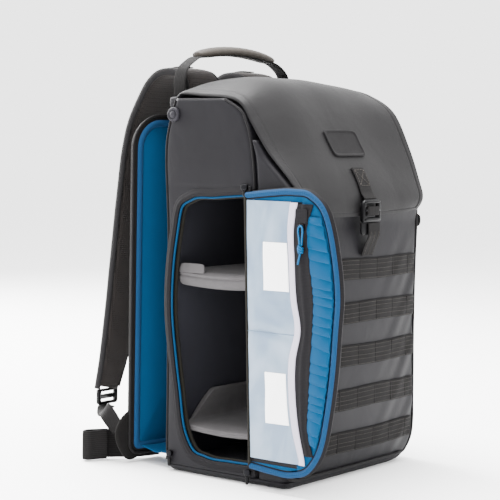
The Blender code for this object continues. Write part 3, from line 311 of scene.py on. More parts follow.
# Height as a share of the body's; set-back of the front and stand-out of the back wall as
# shares of the compartment's depth.
MAIN_SECTIONS = table(
    "height front back",
    (0.000, 0.011, 0.004), (0.054, 0.011, 0.011), (0.225, 0.036, 0.014), (0.482, 0.065, 0.025),
    (0.663, 0.080, 0.033), (0.766, 0.078, 0.055), (0.842, 0.101, 0.069), (0.893, 0.131, 0.060),
    (0.940, 0.182, 0.025), (0.969, 0.240, -0.004), (1.000, 0.425, -0.033))


def read(sections, column, z):
    """A section table's column at heights in metres."""
    return hermite(sections["height"], sections[column], np.asarray(z) / BODY_HEIGHT)


def main_front(z):
    return MAIN_FRONT_Y + MAIN_DEPTH * read(MAIN_SECTIONS, "front", z)


def main_back(z):
    return BACK_Y + MAIN_DEPTH * read(MAIN_SECTIONS, "back", z)


def foot_inset(z, radius):
    """How far a side draws in near the floor, along a quarter circle."""
    drop = np.clip(radius - np.asarray(z), 0.0, radius)
    return radius - np.sqrt(radius ** 2 - drop ** 2)


def unit_ring(front, side, corner):
    """A rounded rectangle in parts, anticlockwise from its front left: how far along each
    half side a point lies, and its outward direction."""
    quarter = np.linspace(0.0, math.pi / 2, corner + 1)
    fx, fy, nx, ny = [], [], [], []
    sides = ((front, (-1, -1), (1, -1), -90), (side, (1, -1), (1, 1), 0),
             (front, (1, 1), (-1, 1), 90), (side, (-1, 1), (-1, -1), 180))
    for count, start, end, heading in sides:
        share = np.linspace(0.0, 1.0, count)
        angle = math.radians(heading)
        fx += [start[0] + (end[0] - start[0]) * share, np.full(corner - 1, end[0])]
        fy += [start[1] + (end[1] - start[1]) * share, np.full(corner - 1, end[1])]
        turning = angle + quarter[1:-1]
        nx += [np.full(count, math.cos(angle)), np.cos(turning)]
        ny += [np.full(count, math.sin(angle)), np.sin(turning)]
    return [np.concatenate(part) for part in (fx, fy, nx, ny)]


def ring_surface(ring, z, left, right, front, back, radius, puff):
    """Level sections stacked: centre, plus the half sides less the corner radius, plus the
    radius and the puff along the outward direction."""
    fx, fy, nx, ny = ring
    column = lambda value: np.broadcast_to(np.asarray(value, dtype=float), z.shape)[:, None]
    left, right, front, back = column(left), column(right), column(front), column(back)
    reach = column(radius)
    x = (left + right) / 2 + fx * ((right - left) / 2 - reach) + nx * (reach + puff)
    y = (front + back) / 2 + fy * ((back - front) / 2 - reach) + ny * (reach + puff)
    return np.stack([x, y, np.broadcast_to(z[:, None], x.shape)], axis=-1)


def bumps(a, b, seed, count=6, low=8.0, high=40.0):
    """Soft unevenness of cloth: a sum of a few waves in two directions, seeded; from -1 to 1."""
    source = np.random.default_rng(seed)
    angle = source.uniform(0, math.pi, count)
    rate = source.uniform(low, high, count)
    start = source.uniform(0, 2 * math.pi, count)
    waves = [np.sin(r * (np.cos(t) * a + np.sin(t) * b) + s) for r, t, s in zip(rate, angle, start)]
    return sum(waves) / count


def groove(distance, width):
    """A sewn seam: a narrow dip with a soft shoulder on both sides, deepest at 0."""
    return np.exp(-(distance / width) ** 2)


def shell_points():
    """Outer face of the main compartment, swelling between seams; its floor shrinks its lowest
    ring to the middle."""
    ring = unit_ring(52, 44, 6)
    z = np.concatenate([[SHELL_FLOOR], np.linspace(0.012, 0.040, 12),
                        np.linspace(0.045, BODY_HEIGHT, 96)])
    fx, fy, nx, ny = ring
    across = 1 - fy ** 4
    height = np.sin(math.pi * np.clip((z - 0.02) / 0.43, 0, 1)) ** 0.6
    above = np.clip((z - SIDE_SEAM_HEIGHT) / 0.02, 0, 1)
    swell = SIDE_SWELL * (0.35 + 0.65 * above)[:, None] * across * np.abs(nx) * height[:, None]
    swell -= 0.0007 * groove(z - SIDE_SEAM_HEIGHT, 0.0016)[:, None] * (nx < -0.9)
    swell += 0.0004 * bumps(z[:, None], (fx - 2 * fy)[None, :] * 0.1, 4) * across
    left = -HALF_WIDTH + foot_inset(z, LEFT_FOOT_RADIUS)
    right = HALF_WIDTH - foot_inset(z, RIGHT_FOOT_RADIUS)
    walls = ring_surface(ring, z, left, right, main_front(z), main_back(z), EDGE_RADIUS, swell)
    middle = walls[0].mean(axis=0)
    floor = [middle + share * (walls[0] - middle) for share in (0.0, 0.4, 0.8, 0.97)]
    return np.concatenate([floor, walls])


def coated_nylon(name, shade, grain, crease, gloss=0.10):
    """Nylon with a matt polyurethane coating: a fine pebbled grain, faint soft creases and a
    low sheen, slightly cloudy in shade and gloss where use has rubbed it."""
    made, tree, shader = new_material(name, shade, 0.52, Specular_IOR_Level=gloss,
                                      Sheen_Weight=0.012, Sheen_Roughness=0.25)
    place = add(tree, "ShaderNodeTexCoord").outputs["Object"]
    cloud = add(tree, "ShaderNodeTexNoise", {"Vector": place},
                {"Scale": 14.0, "Detail": 5.0, "Roughness": 0.6}).outputs["Fac"]
    tone = add(tree, "ShaderNodeValToRGB", {"Fac": cloud})
    base = np.array(linear(shade))
    tone.color_ramp.elements[0].position, tone.color_ramp.elements[1].position = 0.3, 0.72
    tone.color_ramp.elements[0].color = (*(base[:3] * 0.86), 1.0)
    tone.color_ramp.elements[1].color = (*(base[:3] * 1.16), 1.0)
    tree.links.new(tone.outputs[0], shader.inputs["Base Color"])
    sheen = add(tree, "ShaderNodeMapRange", {"Value": cloud}, {"To Min": 0.46, "To Max": 0.60})
    tree.links.new(sheen.outputs[0], shader.inputs["Roughness"])
    pebbles = add(tree, "ShaderNodeTexVoronoi", {"Vector": place}, {"Scale": 1000.0 / grain})
    folds = add(tree, "ShaderNodeTexNoise", {"Vector": place},
                {"Scale": 26.0, "Detail": 3.0, "Roughness": 0.45, "Distortion": 0.6})
    soft = add(tree, "ShaderNodeBump", {"Height": folds.outputs["Fac"]},
               {"Strength": crease, "Distance": 0.004})
    fine = add(tree, "ShaderNodeBump", {"Height": pebbles.outputs["Distance"],
                                        "Normal": soft.outputs[0]},
               {"Strength": 0.25, "Distance": 0.0003})
    tree.links.new(fine.outputs[0], shader.inputs["Normal"])
    return made


def woven(name, shade, second, thread, roughness=0.85, depth=0.5, sheen=0.015):
    """Plain woven cloth on its own UV map: warp and weft as two sets of fine ridges, thread
    apart in metres; the second colour is painted shade, laid in the gaps between the threads."""
    made, tree, shader = new_material(name, shade, roughness, Sheen_Weight=sheen,
                                      Sheen_Roughness=0.5, Specular_IOR_Level=0.06)
    place = add(tree, "ShaderNodeTexCoord").outputs["UV"]
    warp, weft = [add(tree, "ShaderNodeTexWave", {"Vector": place},
                      {"bands_direction": way, "Scale": 0.314 / thread, "Distortion": 0.4,
                       "Detail Scale": 3.0}).outputs["Fac"] for way in ("X", "Y")]
    weave = add(tree, "ShaderNodeMath", {0: warp, 1: weft}, {"operation": "MULTIPLY"}).outputs[0]
    # The second colour is painted shade in the gaps between the threads.
    relief_with_painted_dip_shade(tree, shader, weave, second, shade, depth, 0.0004)
    return made


def tidy(piece, distance=0.00005):
    """Merge doubles and point every face outwards."""
    shape = bmesh.new()
    shape.from_mesh(piece.data)
    bmesh.ops.remove_doubles(shape, verts=shape.verts, dist=distance)
    bmesh.ops.recalc_face_normals(shape, faces=shape.faces)
    shape.to_mesh(piece.data)
    shape.free()
    return piece


def thicken(piece, thickness, offset=0.0, lining=None):
    """Give a surface its wall, and apply it; a lined piece shows its lining on the inside."""
    wall = piece.modifiers.new("wall", "SOLIDIFY")
    wall.thickness, wall.offset, wall.use_even_offset = thickness, offset, True
    if lining is not None:
        piece.data.materials.append(lining)
        wall.material_offset = 1
    return settle(piece)


def settle(piece):
    """Replace a piece's mesh by what its modifiers make of it."""
    bpy.context.view_layer.update()
    seen = piece.evaluated_get(bpy.context.evaluated_depsgraph_get())
    mesh = bpy.data.meshes.new_from_object(seen)
    piece.modifiers.clear()
    piece.data = mesh
    return piece


def cut(piece, *cutters):
    """Take the cutters' shapes out of the piece and remove them."""
    for cutter in cutters:
        boolean = piece.modifiers.new("cut", "BOOLEAN")
        boolean.operation, boolean.object = "DIFFERENCE", cutter
    settle(piece)
    for cutter in cutters:
        bpy.data.objects.remove(cutter)
    return piece


# Rim of the camera opening, from the hinge's top round to its foot: reach from the hinge and
# height over the sill, as shares.
OPENING_SILL = 0.0215
OPENING_HEIGHT = 0.3175
OPENING_REACH = 0.126
HINGE_LEAN = 0.0135
OPENING_RIM = table(
    "reach height",
    (0.000, 1.000), (0.430, 0.985), (0.733, 0.970), (0.856, 0.935), (0.910, 0.850), (0.977, 0.698),
    (1.000, 0.546), (0.970, 0.395), (0.923, 0.247), (0.867, 0.096), (0.787, 0.033), (0.600, 0.003),
    (0.306, 0.000), (0.000, 0.003))


def hinge_y(z):
    """The door's hinge line leans forward towards the floor."""
    return MAIN_FRONT_Y + 0.0015 + HINGE_LEAN * (np.asarray(z) - OPENING_SILL) / OPENING_HEIGHT


def rim_points(rim, count, towards, inset=0.0):
    """Rim of the opening (towards +1, rearwards) or the door (-1), drawn in by inset."""
    shares = along(np.stack([rim["reach"], rim["height"]], axis=1), count)
    z = OPENING_SILL + OPENING_HEIGHT * shares[:, 1]
    y = hinge_y(z) + towards * OPENING_REACH * shares[:, 0]
    line = np.stack([y, z], axis=1)
    run = unit(np.gradient(line, axis=0))
    return line + inset * towards * np.stack([run[:, 1], -run[:, 0]], axis=1)


def at_x(x, line):
    """A YZ line set at a place, or at a place for each point, along X."""
    return np.insert(line, 0, x, axis=1)


def prism(name, outline, low, high):
    """A solid from a YZ outline, between two places along X."""
    outline = np.asarray(outline)
    following = np.roll(outline, -1, axis=0)
    if np.sum(outline[:, 0] * following[:, 1] - following[:, 0] * outline[:, 1]) < 0:
        outline = outline[::-1]
    return surface(name, [at_x(low, outline), at_x(high, outline)], around=True, ends=True)


coated_body = coated_nylon("coated_nylon_body", COATED_COLOUR, 0.9, 0.22)
body_lining = woven("brushed_lining_black", LINING_COLOUR, "#232328", 0.0012)
shell = tidy(surface("body_shell", shell_points(), around=True))
shell.data.materials.append(coated_body)
thicken(shell, SHELL_WALL, -1.0, lining=body_lining)
cut(shell, prism("opening", rim_points(OPENING_RIM, 80, 1), -HALF_WIDTH - 0.02, -HALF_WIDTH + 0.02))
dress(shell, "coated_cloth", "main_shell")


# Front pocket: a flat compartment of thin coated nylon. Its face is fullest in the middle, its
# right side sags, and above the fourth fifth it slopes back under the flap to an open mouth.
POCKET_WALL = 0.0018
POCKET_SECTIONS = table(
    "height front swell",
    (0.000, 0.180, 0.050), (0.054, 0.080, 0.100), (0.165, 0.055, 0.150), (0.364, 0.090, 0.190),
    (0.536, 0.095, 0.190), (0.670, 0.080, 0.140), (0.768, 0.110, 0.080), (0.803, 0.460, 0.080),
    (0.848, 0.930, 0.090), (0.893, 1.260, 0.050))


def pocket_front(x, z):
    """Front face of the pocket: its edge's set-back, less a swell that falls off as the square
    of the distance from the middle."""
    share = np.clip(np.asarray(x) / HALF_WIDTH, -1.0, 1.0)
    edge = FRONT_Y + POCKET_DEPTH * read(POCKET_SECTIONS, "front", z)
    return edge - POCKET_DEPTH * read(POCKET_SECTIONS, "swell", z) * (1 - share ** 2)


def face_creases(x, z):
    """Soft diagonal folds of the pocket's face, strongest near its right edge between the
    webbing rows, as sines of a slanting coordinate."""
    slant = 1.15 * x - z
    right = np.clip((x - 0.02) / 0.10, 0, 1) * np.clip((0.30 - z) / 0.05, 0, 1)
    wide = 0.0006 * np.sin(88.0 * slant + 1.4) + 0.0004 * np.sin(171.0 * slant + 0.6 + 9.0 * z)
    return right * wide + 0.0005 * bumps(x, z, 11)


def pocket_points():
    """Level rings whose front bows out; the puff adds the face's creases and a dent above the
    piping at its foot."""
    ring = unit_ring(110, 22, 6)
    fx, fy, nx, ny = ring
    z = np.concatenate([[SHELL_FLOOR], np.linspace(0.012, 0.040, 12),
                        np.linspace(0.044, 0.400, 120)])
    left = -HALF_WIDTH + foot_inset(z, LEFT_FOOT_RADIUS)
    right = HALF_WIDTH - foot_inset(z, RIGHT_FOOT_RADIUS)
    front = pocket_front(HALF_WIDTH, z)
    back = main_front(z) - 0.0008
    radius = np.minimum(EDGE_RADIUS, 0.45 * (back - front))
    points = ring_surface(ring, z, left, right, front, back, radius, 0.0)
    x = points[..., 0]
    height = np.broadcast_to(z[:, None], x.shape)
    facing = np.clip(-ny, 0, 1)[None, :]
    bow = pocket_front(HALF_WIDTH, height) - pocket_front(x, height)
    points[..., 1] -= facing * (bow + face_creases(x, height))
    return points


pocket = surface("pocket_shell", pocket_points(), around=True, ends=True)
pocket.data.materials.append(coated_body)
thicken(pocket, POCKET_WALL, -1.0, lining=body_lining)


def box_shape(name, low, high):
    """A plain box between two corners, used only to cut."""
    y0, z0, y1, z1 = low[1], low[2], high[1], high[2]
    return prism(name, [(y0, z0), (y1, z0), (y1, z1), (y0, z1)], low[0], high[0])


cut(pocket, box_shape("mouth", (-0.8 * HALF_WIDTH, FRONT_Y - 0.02, 0.785 * BODY_HEIGHT),
                      (0.8 * HALF_WIDTH, MAIN_FRONT_Y - 0.001, 0.872 * BODY_HEIGHT)))
dress(pocket, "coated_cloth", "front_pocket")


# Base: a stiffened panel of the same coated nylon under both compartments, tucked in all round
# where it meets the floor.
BASE_THICKNESS = 0.0087


def base_points():
    """Tucked rings: the tuck falls off as the square of the height over the floor."""
    ring = unit_ring(60, 44, 6)
    z = np.linspace(0.0, BASE_THICKNESS, 8)
    tuck = 0.006 * (1 - z / BASE_THICKNESS) ** 2
    left = -HALF_WIDTH + foot_inset(z, LEFT_FOOT_RADIUS)
    right = HALF_WIDTH - foot_inset(z, RIGHT_FOOT_RADIUS)
    front = pocket_front(HALF_WIDTH, SHELL_FLOOR) + tuck - 0.0016
    back = main_back(SHELL_FLOOR) - tuck
    return ring_surface(ring, z, left, right, front, back, EDGE_RADIUS, 0.0)


base = surface("base_tray", base_points(), around=True, ends=True)
dress(base, "coated_cloth", "base_panel", finish=coated_body)


# Piping: a black cord in a bias strip, sewn down both front edges of the pocket and along its
# foot, and a second run between the side panel and the front, over the top of the pack.
PIPING_RADIUS = 0.0018


def pocket_edge():
    """Down the right edge, round the big foot corner, along the foot and up the left edge."""
    shift = (EDGE_RADIUS + PIPING_RADIUS + 0.0007) * math.cos(math.radians(45)) - EDGE_RADIUS
    top = 0.768 * BODY_HEIGHT
    z = np.linspace(top, RIGHT_FOOT_RADIUS, 9)
    right = np.column_stack([np.full(9, HALF_WIDTH + shift - 0.0009),
                             pocket_front(HALF_WIDTH, z) - shift + 0.0006, z])
    z = np.array([0.034, 0.026, 0.019, 0.0142])
    x = HALF_WIDTH - foot_inset(z, RIGHT_FOOT_RADIUS) + shift - 0.0009
    corner = np.column_stack([x, pocket_front(HALF_WIDTH, z) - shift + 0.0006, z])
    foot = SHELL_FLOOR + PIPING_RADIUS - 0.0002
    x = np.linspace(0.100, -0.118, 9)
    below = np.column_stack([x, pocket_front(x, np.full(9, foot)) - PIPING_RADIUS - 0.0004,
                             np.full(9, foot)])
    turn = [(-HALF_WIDTH + 0.0035, pocket_front(HALF_WIDTH, 0.016) - PIPING_RADIUS - 0.0009,
             0.0150)]
    z = np.linspace(LEFT_FOOT_RADIUS + 0.012, top, 9)
    left = np.column_stack([np.full(9, -HALF_WIDTH - shift),
                            pocket_front(HALF_WIDTH, z) - shift, z])
    return along(np.concatenate([right, corner, below, turn, left]), 260)


trim_black = woven("bias_strip_black", "#1b1a1b", "#121112", 0.0010, roughness=0.6)
edge = swept("pocket_edge_piping", pocket_edge(), (0.35, 1.0, 0.2), circle(PIPING_RADIUS, 12))
dress(edge, "trim_black", "pocket_piping", finish=trim_black)


def top_seam():
    """Side panel's front seam: over the top of the pocket up to the crown, 2 mm proud."""
    z = np.linspace(0.344, 0.447, 24)
    return np.column_stack([np.full(24, -HALF_WIDTH + 0.0012), main_front(z) + 0.0012, z])


side_seam = tube("side_panel_piping", along(top_seam(), 90), 0.0014)
dress(side_seam, "trim_black", finish=trim_black)


def back_seam(side):
    """Seam between a side panel and the back, from the base to the top corner."""
    z = np.linspace(0.014, 0.446, 40)
    foot = LEFT_FOOT_RADIUS if side < 0 else RIGHT_FOOT_RADIUS
    x = side * (HALF_WIDTH - 0.0014 - foot_inset(z, foot))
    return np.column_stack([x, main_back(z) - 0.0014, z])


for side, name in ((-1, "left"), (1, "right")):
    dress(tube(f"back_seam_{name}", along(back_seam(side), 160), 0.0013), "trim_black",
          finish=trim_black)


# Camera compartment: a ceiling board and two padded dividers, all wrapped in brushed loop
# fabric that hook tape grips. The dividers sag a little and their near edge is a full roll.
DIVIDER_COLOUR = "#504e4f"
DIVIDER_INSET = 0.0056
PLATES = table(
    "height thick sag gap swell",
    (0.3435, 0.0050, 0.000, 0.002, 0.0000),
    (0.2225, 0.0190, 0.003, 0.007, 0.0012),
    (0.0480, 0.0070, 0.003, 0.007, 0.0010))

# The lower divider's rear end stands up against the back: reach over the bend, rise and the
# slope of its rounded left corner as shares of the stand-up.
DIVIDER_BEND = 0.016
DIVIDER_TURN_UP = 0.042
TURN_UP = table(
    "reach rise inset",
    (0.500, 0.051, 0.190), (0.866, 0.190, 0.560), (1.000, 0.381, 0.800), (1.000, 0.667, 1.100),
    (1.000, 1.000, 1.560))


def brushed_loop(name, shade, low):
    """Brushed nylon loop: a short nap, cloudy in shade, with soft sheen at grazing angles."""
    made, tree, shader = new_material(name, shade, 0.95, Sheen_Weight=0.05, Sheen_Roughness=0.6,
                                      Specular_IOR_Level=0.06)
    place = add(tree, "ShaderNodeTexCoord").outputs["Object"]
    cloud = add(tree, "ShaderNodeTexNoise", {"Vector": place},
                {"Scale": 45.0, "Detail": 6.0, "Roughness": 0.7}).outputs["Fac"]
    tint = add(tree, "ShaderNodeMix", {"Factor": cloud}, {"data_type": "RGBA"})
    tint.inputs[6].default_value = linear(low)
    tint.inputs[7].default_value = linear(shade)
    tree.links.new(tint.outputs[2], shader.inputs["Base Color"])
    nap = add(tree, "ShaderNodeTexNoise", {"Vector": place}, {"Scale": 1400.0, "Detail": 2.0})
    bump = add(tree, "ShaderNodeBump", {"Height": nap.outputs["Fac"]},
               {"Strength": 0.5, "Distance": 0.0004})
    tree.links.new(bump.outputs[0], shader.inputs["Normal"])
    return made


def plate_line(row, turn_up):
    """Under face of a divider along its depth, as depth, height and the left edge's inset: it
    runs level, and the lower divider's bends up at the back."""
    height, thick, sag = (PLATES[key][row] for key in ("height", "thick", "sag"))
    edge = np.linspace(height + sag, height + sag + thick, 3)
    front, back = np.max(main_front(edge)) + DIVIDER_INSET, np.min(main_back(edge)) - DIVIDER_INSET
    bend = DIVIDER_BEND if turn_up else 0.0
    line = np.column_stack([np.linspace(front, back - bend, 9), np.full(9, height + sag),
                            np.zeros(9)])
    if turn_up:
        line = np.concatenate([line, np.column_stack([
            back - bend + bend * TURN_UP["reach"], height + sag + turn_up * TURN_UP["rise"],
            turn_up * TURN_UP["inset"]])])
    return along(line, 90), front, back - bend


def divider_points(row, turn_up=0.0):
    """Closed sections across the pack, one for each place along the depth. The near edge is a
    full roll with a sewn crease above its middle, both ends are rounded, and the middle sags as a
    sine of the depth."""
    thick, sag, gap, swell = (PLATES[key][row] for key in ("thick", "sag", "gap", "swell"))
    line, front, back = plate_line(row, turn_up)
    run = unit(np.gradient(line[:, :2], axis=0))
    place = arc(line[:, :2])
    ends = np.clip(1 - np.minimum(place, place[-1] - place) / (0.34 * thick), 0, 1)
    full = np.sqrt(1 - 0.94 * ends ** 2)
    level = np.linspace(-1.0, 1.0, 33)
    lobe = 0.30 * thick * np.abs(level) ** 4 + 0.09 * thick * groove(level - 0.30, 0.16)
    across = np.linspace(0.0, 1.0, 48) ** 1.5
    share = np.concatenate([np.zeros(33), across[1:], np.ones(5), across[::-1][1:-1]])
    side = np.concatenate([level, np.ones(47), np.linspace(1, -1, 7)[1:-1], -np.ones(46)])
    crease = np.concatenate([lobe, np.full(47, lobe[-1]), np.zeros(5), np.full(46, lobe[0])])
    crease = crease * (1 - share)
    left = -(HALF_WIDTH - DIVIDER_INSET - gap) + line[:, 2] + 0.35 * thick * (1 - full)
    right = HALF_WIDTH - EDGE_RADIUS - 0.0003
    x = left[:, None] + crease + (right - left[:, None]) * share
    depth = np.clip((line[:, 0] - front) / (back - front), 0, 1)[:, None]
    dip = -sag * np.sin(math.pi * depth) * (0.6 - 0.4 * x / HALF_WIDTH)
    puff = swell * np.sin(math.pi * depth) * np.sin(math.pi * share ** 0.6) * side
    out = thick / 2 + (thick / 2) * side * full[:, None] + puff
    y = line[:, :1] - run[:, 1:] * out
    z = line[:, 1:2] + run[:, :1] * out + dip
    return np.stack([x, y, z], axis=-1)


divider_grey = brushed_loop("brushed_loop_grey", DIVIDER_COLOUR, "#3a3839")
for row, (name, node, turn_up) in enumerate((("ceiling_board", "compartment_ceiling", 0.0),
                                             ("divider_upper", "upper_divider", 0.0),
                                             ("divider_lower", "lower_divider", DIVIDER_TURN_UP))):
    board = surface(name, divider_points(row, turn_up), around=True, ends=True)
    dress(board, "brushed_divider", node, finish=divider_grey if row else body_lining)


# Divider tab: the end of the upper divider's loop fabric, a doubled flat patch turned up
# against the side wall, where hook tape holds it.
TAB_LENGTH = 0.038
TAB_HEIGHT = 0.0110
TAB_PLACE = (-0.1215, 0.0675, 0.2405)


def tab_points():
    """A flat patch along the side wall; its free edge leans in and its corners are cut round."""
    s, t = np.meshgrid(np.linspace(-1, 1, 30), np.linspace(0, 1, 16))
    x = TAB_PLACE[0] + 0.0016 * t ** 2 + 0.0003 * np.sin(5 * s)
    y = TAB_PLACE[1] + (TAB_LENGTH / 2) * s * (1 - 0.12 * t ** 4)
    z = TAB_PLACE[2] + TAB_HEIGHT * t * (1 - 0.10 * s ** 6)
    return np.stack([x, y, z], axis=-1)


dress(thicken(surface("divider_tab", tab_points()), 0.0020), "brushed_divider",
      finish=divider_grey)


# Trims of the opening: a woven black zip tape with coil teeth round it, a thin bright blue
# piping on its inner edge and a brown-black binding round the removable insert just behind it.
ZIP_COLOUR = "#1b1a1c"


def zip_tape(name, shade, pitch):
    """Woven polyester tape with a nylon coil: teeth as short bars across the tape, on its UV, and
    painted shade, a darker colour, in the gaps between them.
    """
    made, tree, shader = new_material(name, shade, 0.7, Specular_IOR_Level=0.07)
    place = add(tree, "ShaderNodeTexCoord").outputs["UV"]
    teeth = add(tree, "ShaderNodeTexWave", {"Vector": place},
                {"bands_direction": "Y", "Scale": 0.314 / pitch, "Distortion": 0.0})
    fine = add(tree, "ShaderNodeTexNoise", {"Vector": place}, {"Scale": 900.0, "Detail": 2.0})
    both = add(tree, "ShaderNodeMath", {0: teeth.outputs["Fac"], 1: fine.outputs["Fac"]},
               {"operation": "MULTIPLY"})
    # 0f0e10 is painted shade in the gaps between the teeth.
    relief_with_painted_dip_shade(tree, shader, both.outputs[0], "#0f0e10", shade, 0.6, 0.0004)
    return made


def offset_strip(rim, towards, x, insets, heights):
    """A relief along a rim: for each place across the strip an inset from the rim and a
    height over x, so the strip gets its raised coil or rolled edge."""
    lines = [rim_points(rim, 240, towards, inset) for inset in insets]
    return np.stack([at_x(x - h, line) for line, h in zip(lines, heights)], axis=1)


zip_black = zip_tape("nylon_coil_zip_black", ZIP_COLOUR, 0.0016)
opening_x = -HALF_WIDTH - 0.0002
tape_strip = offset_strip(OPENING_RIM, 1, opening_x,
                          [0.0006, 0.0002, -0.0012, -0.0024, -0.0036, -0.0046, -0.0070, -0.0086],
                          [0.0002, 0.0011, 0.0010, 0.0019, 0.0019, 0.0009, 0.0007, 0.0001])
dress(thicken(surface("opening_zip_tape", tape_strip), 0.0006), "zip_tape", "opening_zip",
      finish=zip_black)

piping_blue = woven("piping_strip_blue", "#00385c", "#002a45", 0.0010, roughness=0.6)
inner_line = rim_points(OPENING_RIM, 240, 1, 0.0021)[4:-4]
inner_piping = tube("opening_blue_piping", at_x(-HALF_WIDTH + 0.0012, inner_line), 0.0014)
dress(inner_piping, "blue_piping", "opening_piping", finish=piping_blue)

binding_brown = woven("grosgrain_binding_brown", "#201e1b", "#141310", 0.0012)
insert_line = rim_points(OPENING_RIM, 240, 1, 0.0024)[4:-4]
insert_edge = tube("insert_binding", at_x(-HALF_WIDTH + 0.0078, insert_line), 0.0024, 12)
dress(insert_edge, "insert_binding", "insert_rim", finish=binding_brown)


# Side ring: a moulded ring let into the top back corner of the left side panel, turned profile:
# a raised rim, a groove and a domed middle.
RING_PROFILE = ((0.0, 0.0044), (0.0018, 0.0042), (0.0036, 0.0034), (0.0046, 0.0018),
                (0.0054, 0.0022), (0.0062, 0.0029), (0.0074, 0.0030), (0.0083, 0.0022),
                (0.0087, 0.0008), (0.0087, 0.0), (0.0, 0.0))
RING_PLACE = (-HALF_WIDTH - 0.0012, BACK_Y - 0.0050, 0.957 * BODY_HEIGHT)


def turned(name, profile, place, count=48):
    """A profile of radius and height turned about an axis that points to -X at a place."""
    profile = along(profile, 40)
    turn = np.linspace(0.0, 2 * math.pi, count, endpoint=False)
    y = place[1] + profile[:, :1] * np.cos(turn)
    z = place[2] + profile[:, :1] * np.sin(turn)
    x = np.broadcast_to(place[0] - profile[:, 1:], y.shape)
    piece = surface(name, np.stack([x, y, z], axis=-1), around=True)
    return tidy(piece)


def moulded(name, shade, roughness, grain=0.35):
    """Injection-moulded acetal or nylon: even colour, a fine spark-eroded texture, soft gloss."""
    made, tree, shader = new_material(name, shade, roughness, Specular_IOR_Level=0.07)
    place = add(tree, "ShaderNodeTexCoord").outputs["Object"]
    grit = add(tree, "ShaderNodeTexNoise", {"Vector": place},
               {"Scale": 1000.0 / grain, "Detail": 2.0})
    bump = add(tree, "ShaderNodeBump", {"Height": grit.outputs["Fac"]},
               {"Strength": 0.2, "Distance": 0.0002})
    tree.links.new(bump.outputs[0], shader.inputs["Normal"])
    rub = add(tree, "ShaderNodeTexNoise", {"Vector": place}, {"Scale": 120.0, "Detail": 4.0})
    gloss = add(tree, "ShaderNodeMapRange", {"Value": rub.outputs["Fac"]},
                {"To Min": roughness - 0.08, "To Max": roughness + 0.10})
    tree.links.new(gloss.outputs[0], shader.inputs["Roughness"])
    return made


ring_grey = moulded("moulded_nylon_grey", "#232226", 0.38)
ring = turned("side_ring_moulding", RING_PROFILE, RING_PLACE)
dress(ring, "ring_grey", "side_ring", finish=ring_grey)


# Camera door: a foam panel between coated nylon outside and blue lining inside, folded flat
# along the front of the pack, its inner face showing. Its outline runs from the hinge's top
# round the free edge to the hinge's foot.
DOOR_X = -(HALF_WIDTH + 0.0034)
DOOR_THICKNESS = 0.0100
DOOR_FACE = DOOR_X - DOOR_THICKNESS
DOOR_RIM = table(
    "reach height",
    (0.020, 1.000), (0.300, 1.013), (0.544, 1.019), (0.740, 1.008), (0.898, 0.947), (0.998, 0.783),
    (1.024, 0.644), (0.998, 0.540), (0.961, 0.398), (0.902, 0.255), (0.811, 0.110), (0.678, 0.032),
    (0.496, 0.003), (0.250, 0.003), (0.020, 0.012))


def door_shell_points():
    """The rim carried through the door's thickness: it is rounded like a foam edge, fullest in
    the middle, and both faces are closed by shrinking the rim to its centre line."""
    rim = rim_points(DOOR_RIM, 300, -1)
    spine = rim * (0, 1) + (rim[:, 0].mean(), 0)
    shares = (0.0, 0.5, 0.85, 0.96)
    rows = [at_x(DOOR_X, spine + (rim - spine) * share) for share in shares]
    for angle in np.linspace(-math.pi / 2, math.pi / 2, 17):
        x = (DOOR_X + DOOR_FACE) / 2 - (DOOR_THICKNESS / 2) * math.sin(angle)
        inset = 0.0035 * (1 - math.cos(angle)) - 0.0006
        rows.append(at_x(x, rim_points(DOOR_RIM, 300, -1, inset)))
    rows += [at_x(DOOR_FACE, spine + (rim - spine) * share) for share in shares[::-1]]
    return np.array(rows)


door = tidy(surface("camera_door", door_shell_points(), around=True))
dress(door, "coated_cloth", "side_door", finish=coated_body)


# Door edge zip: the other half of the opening's zip, a woven tape sewn round the door's whole
# edge, with its coil in the middle.
def edge_tape_points():
    """The tape follows the rounded free edge from face to face, 1 mm proud, with the coil as a
    ridge along its middle."""
    lines = []
    for angle in np.radians(np.linspace(-70.0, 78.0, 13)):
        coil = 0.0010 * math.exp(-(math.sin(angle) / 0.22) ** 2)
        inset = 0.0035 * (1 - math.cos(angle)) - 0.0014 - coil
        line = rim_points(DOOR_RIM, 300, -1, inset)[6:-6]
        x = (DOOR_X + DOOR_FACE) / 2 - (DOOR_THICKNESS / 2 + 0.0004) * math.sin(angle)
        lines.append(at_x(x, line))
    return np.stack(lines, axis=1)


dress(thicken(surface("door_edge_zip", edge_tape_points()), 0.0008), "zip_tape", finish=zip_black)


# Door binding: a folded strip of blue grosgrain that wraps the lining's raw edge, rolled like a
# cord and puckered a little where it is sewn.
BINDING_WIDTH = 0.0064
BINDING_RISE = 0.0032
BINDING_COLOUR = "#143b5e"


def binding_points():
    """A half-round relief round the inner face, puckered a little by its stitching."""
    share = np.linspace(0.0, 1.0, 15)
    rise = BINDING_RISE * np.sin(math.pi * np.clip(share, 0.02, 0.98)) ** 0.55
    lines = []
    for s, h in zip(share, rise):
        line = rim_points(DOOR_RIM, 520, -1, -0.0012 + BINDING_WIDTH * s)
        place = np.linspace(0, 1, 520)
        pucker = 0.00022 * np.sin(2 * math.pi * 110 * place) * (h / BINDING_RISE)
        lines.append(at_x(DOOR_FACE - h + pucker, line))
    return np.stack(lines, axis=1)


grosgrain_blue = woven("grosgrain_binding_blue", BINDING_COLOUR, "#0e2c49", 0.0014, roughness=0.8)
dress(thicken(surface("door_blue_binding", binding_points()), 0.0006), "blue_binding",
      "door_binding", finish=grosgrain_blue)


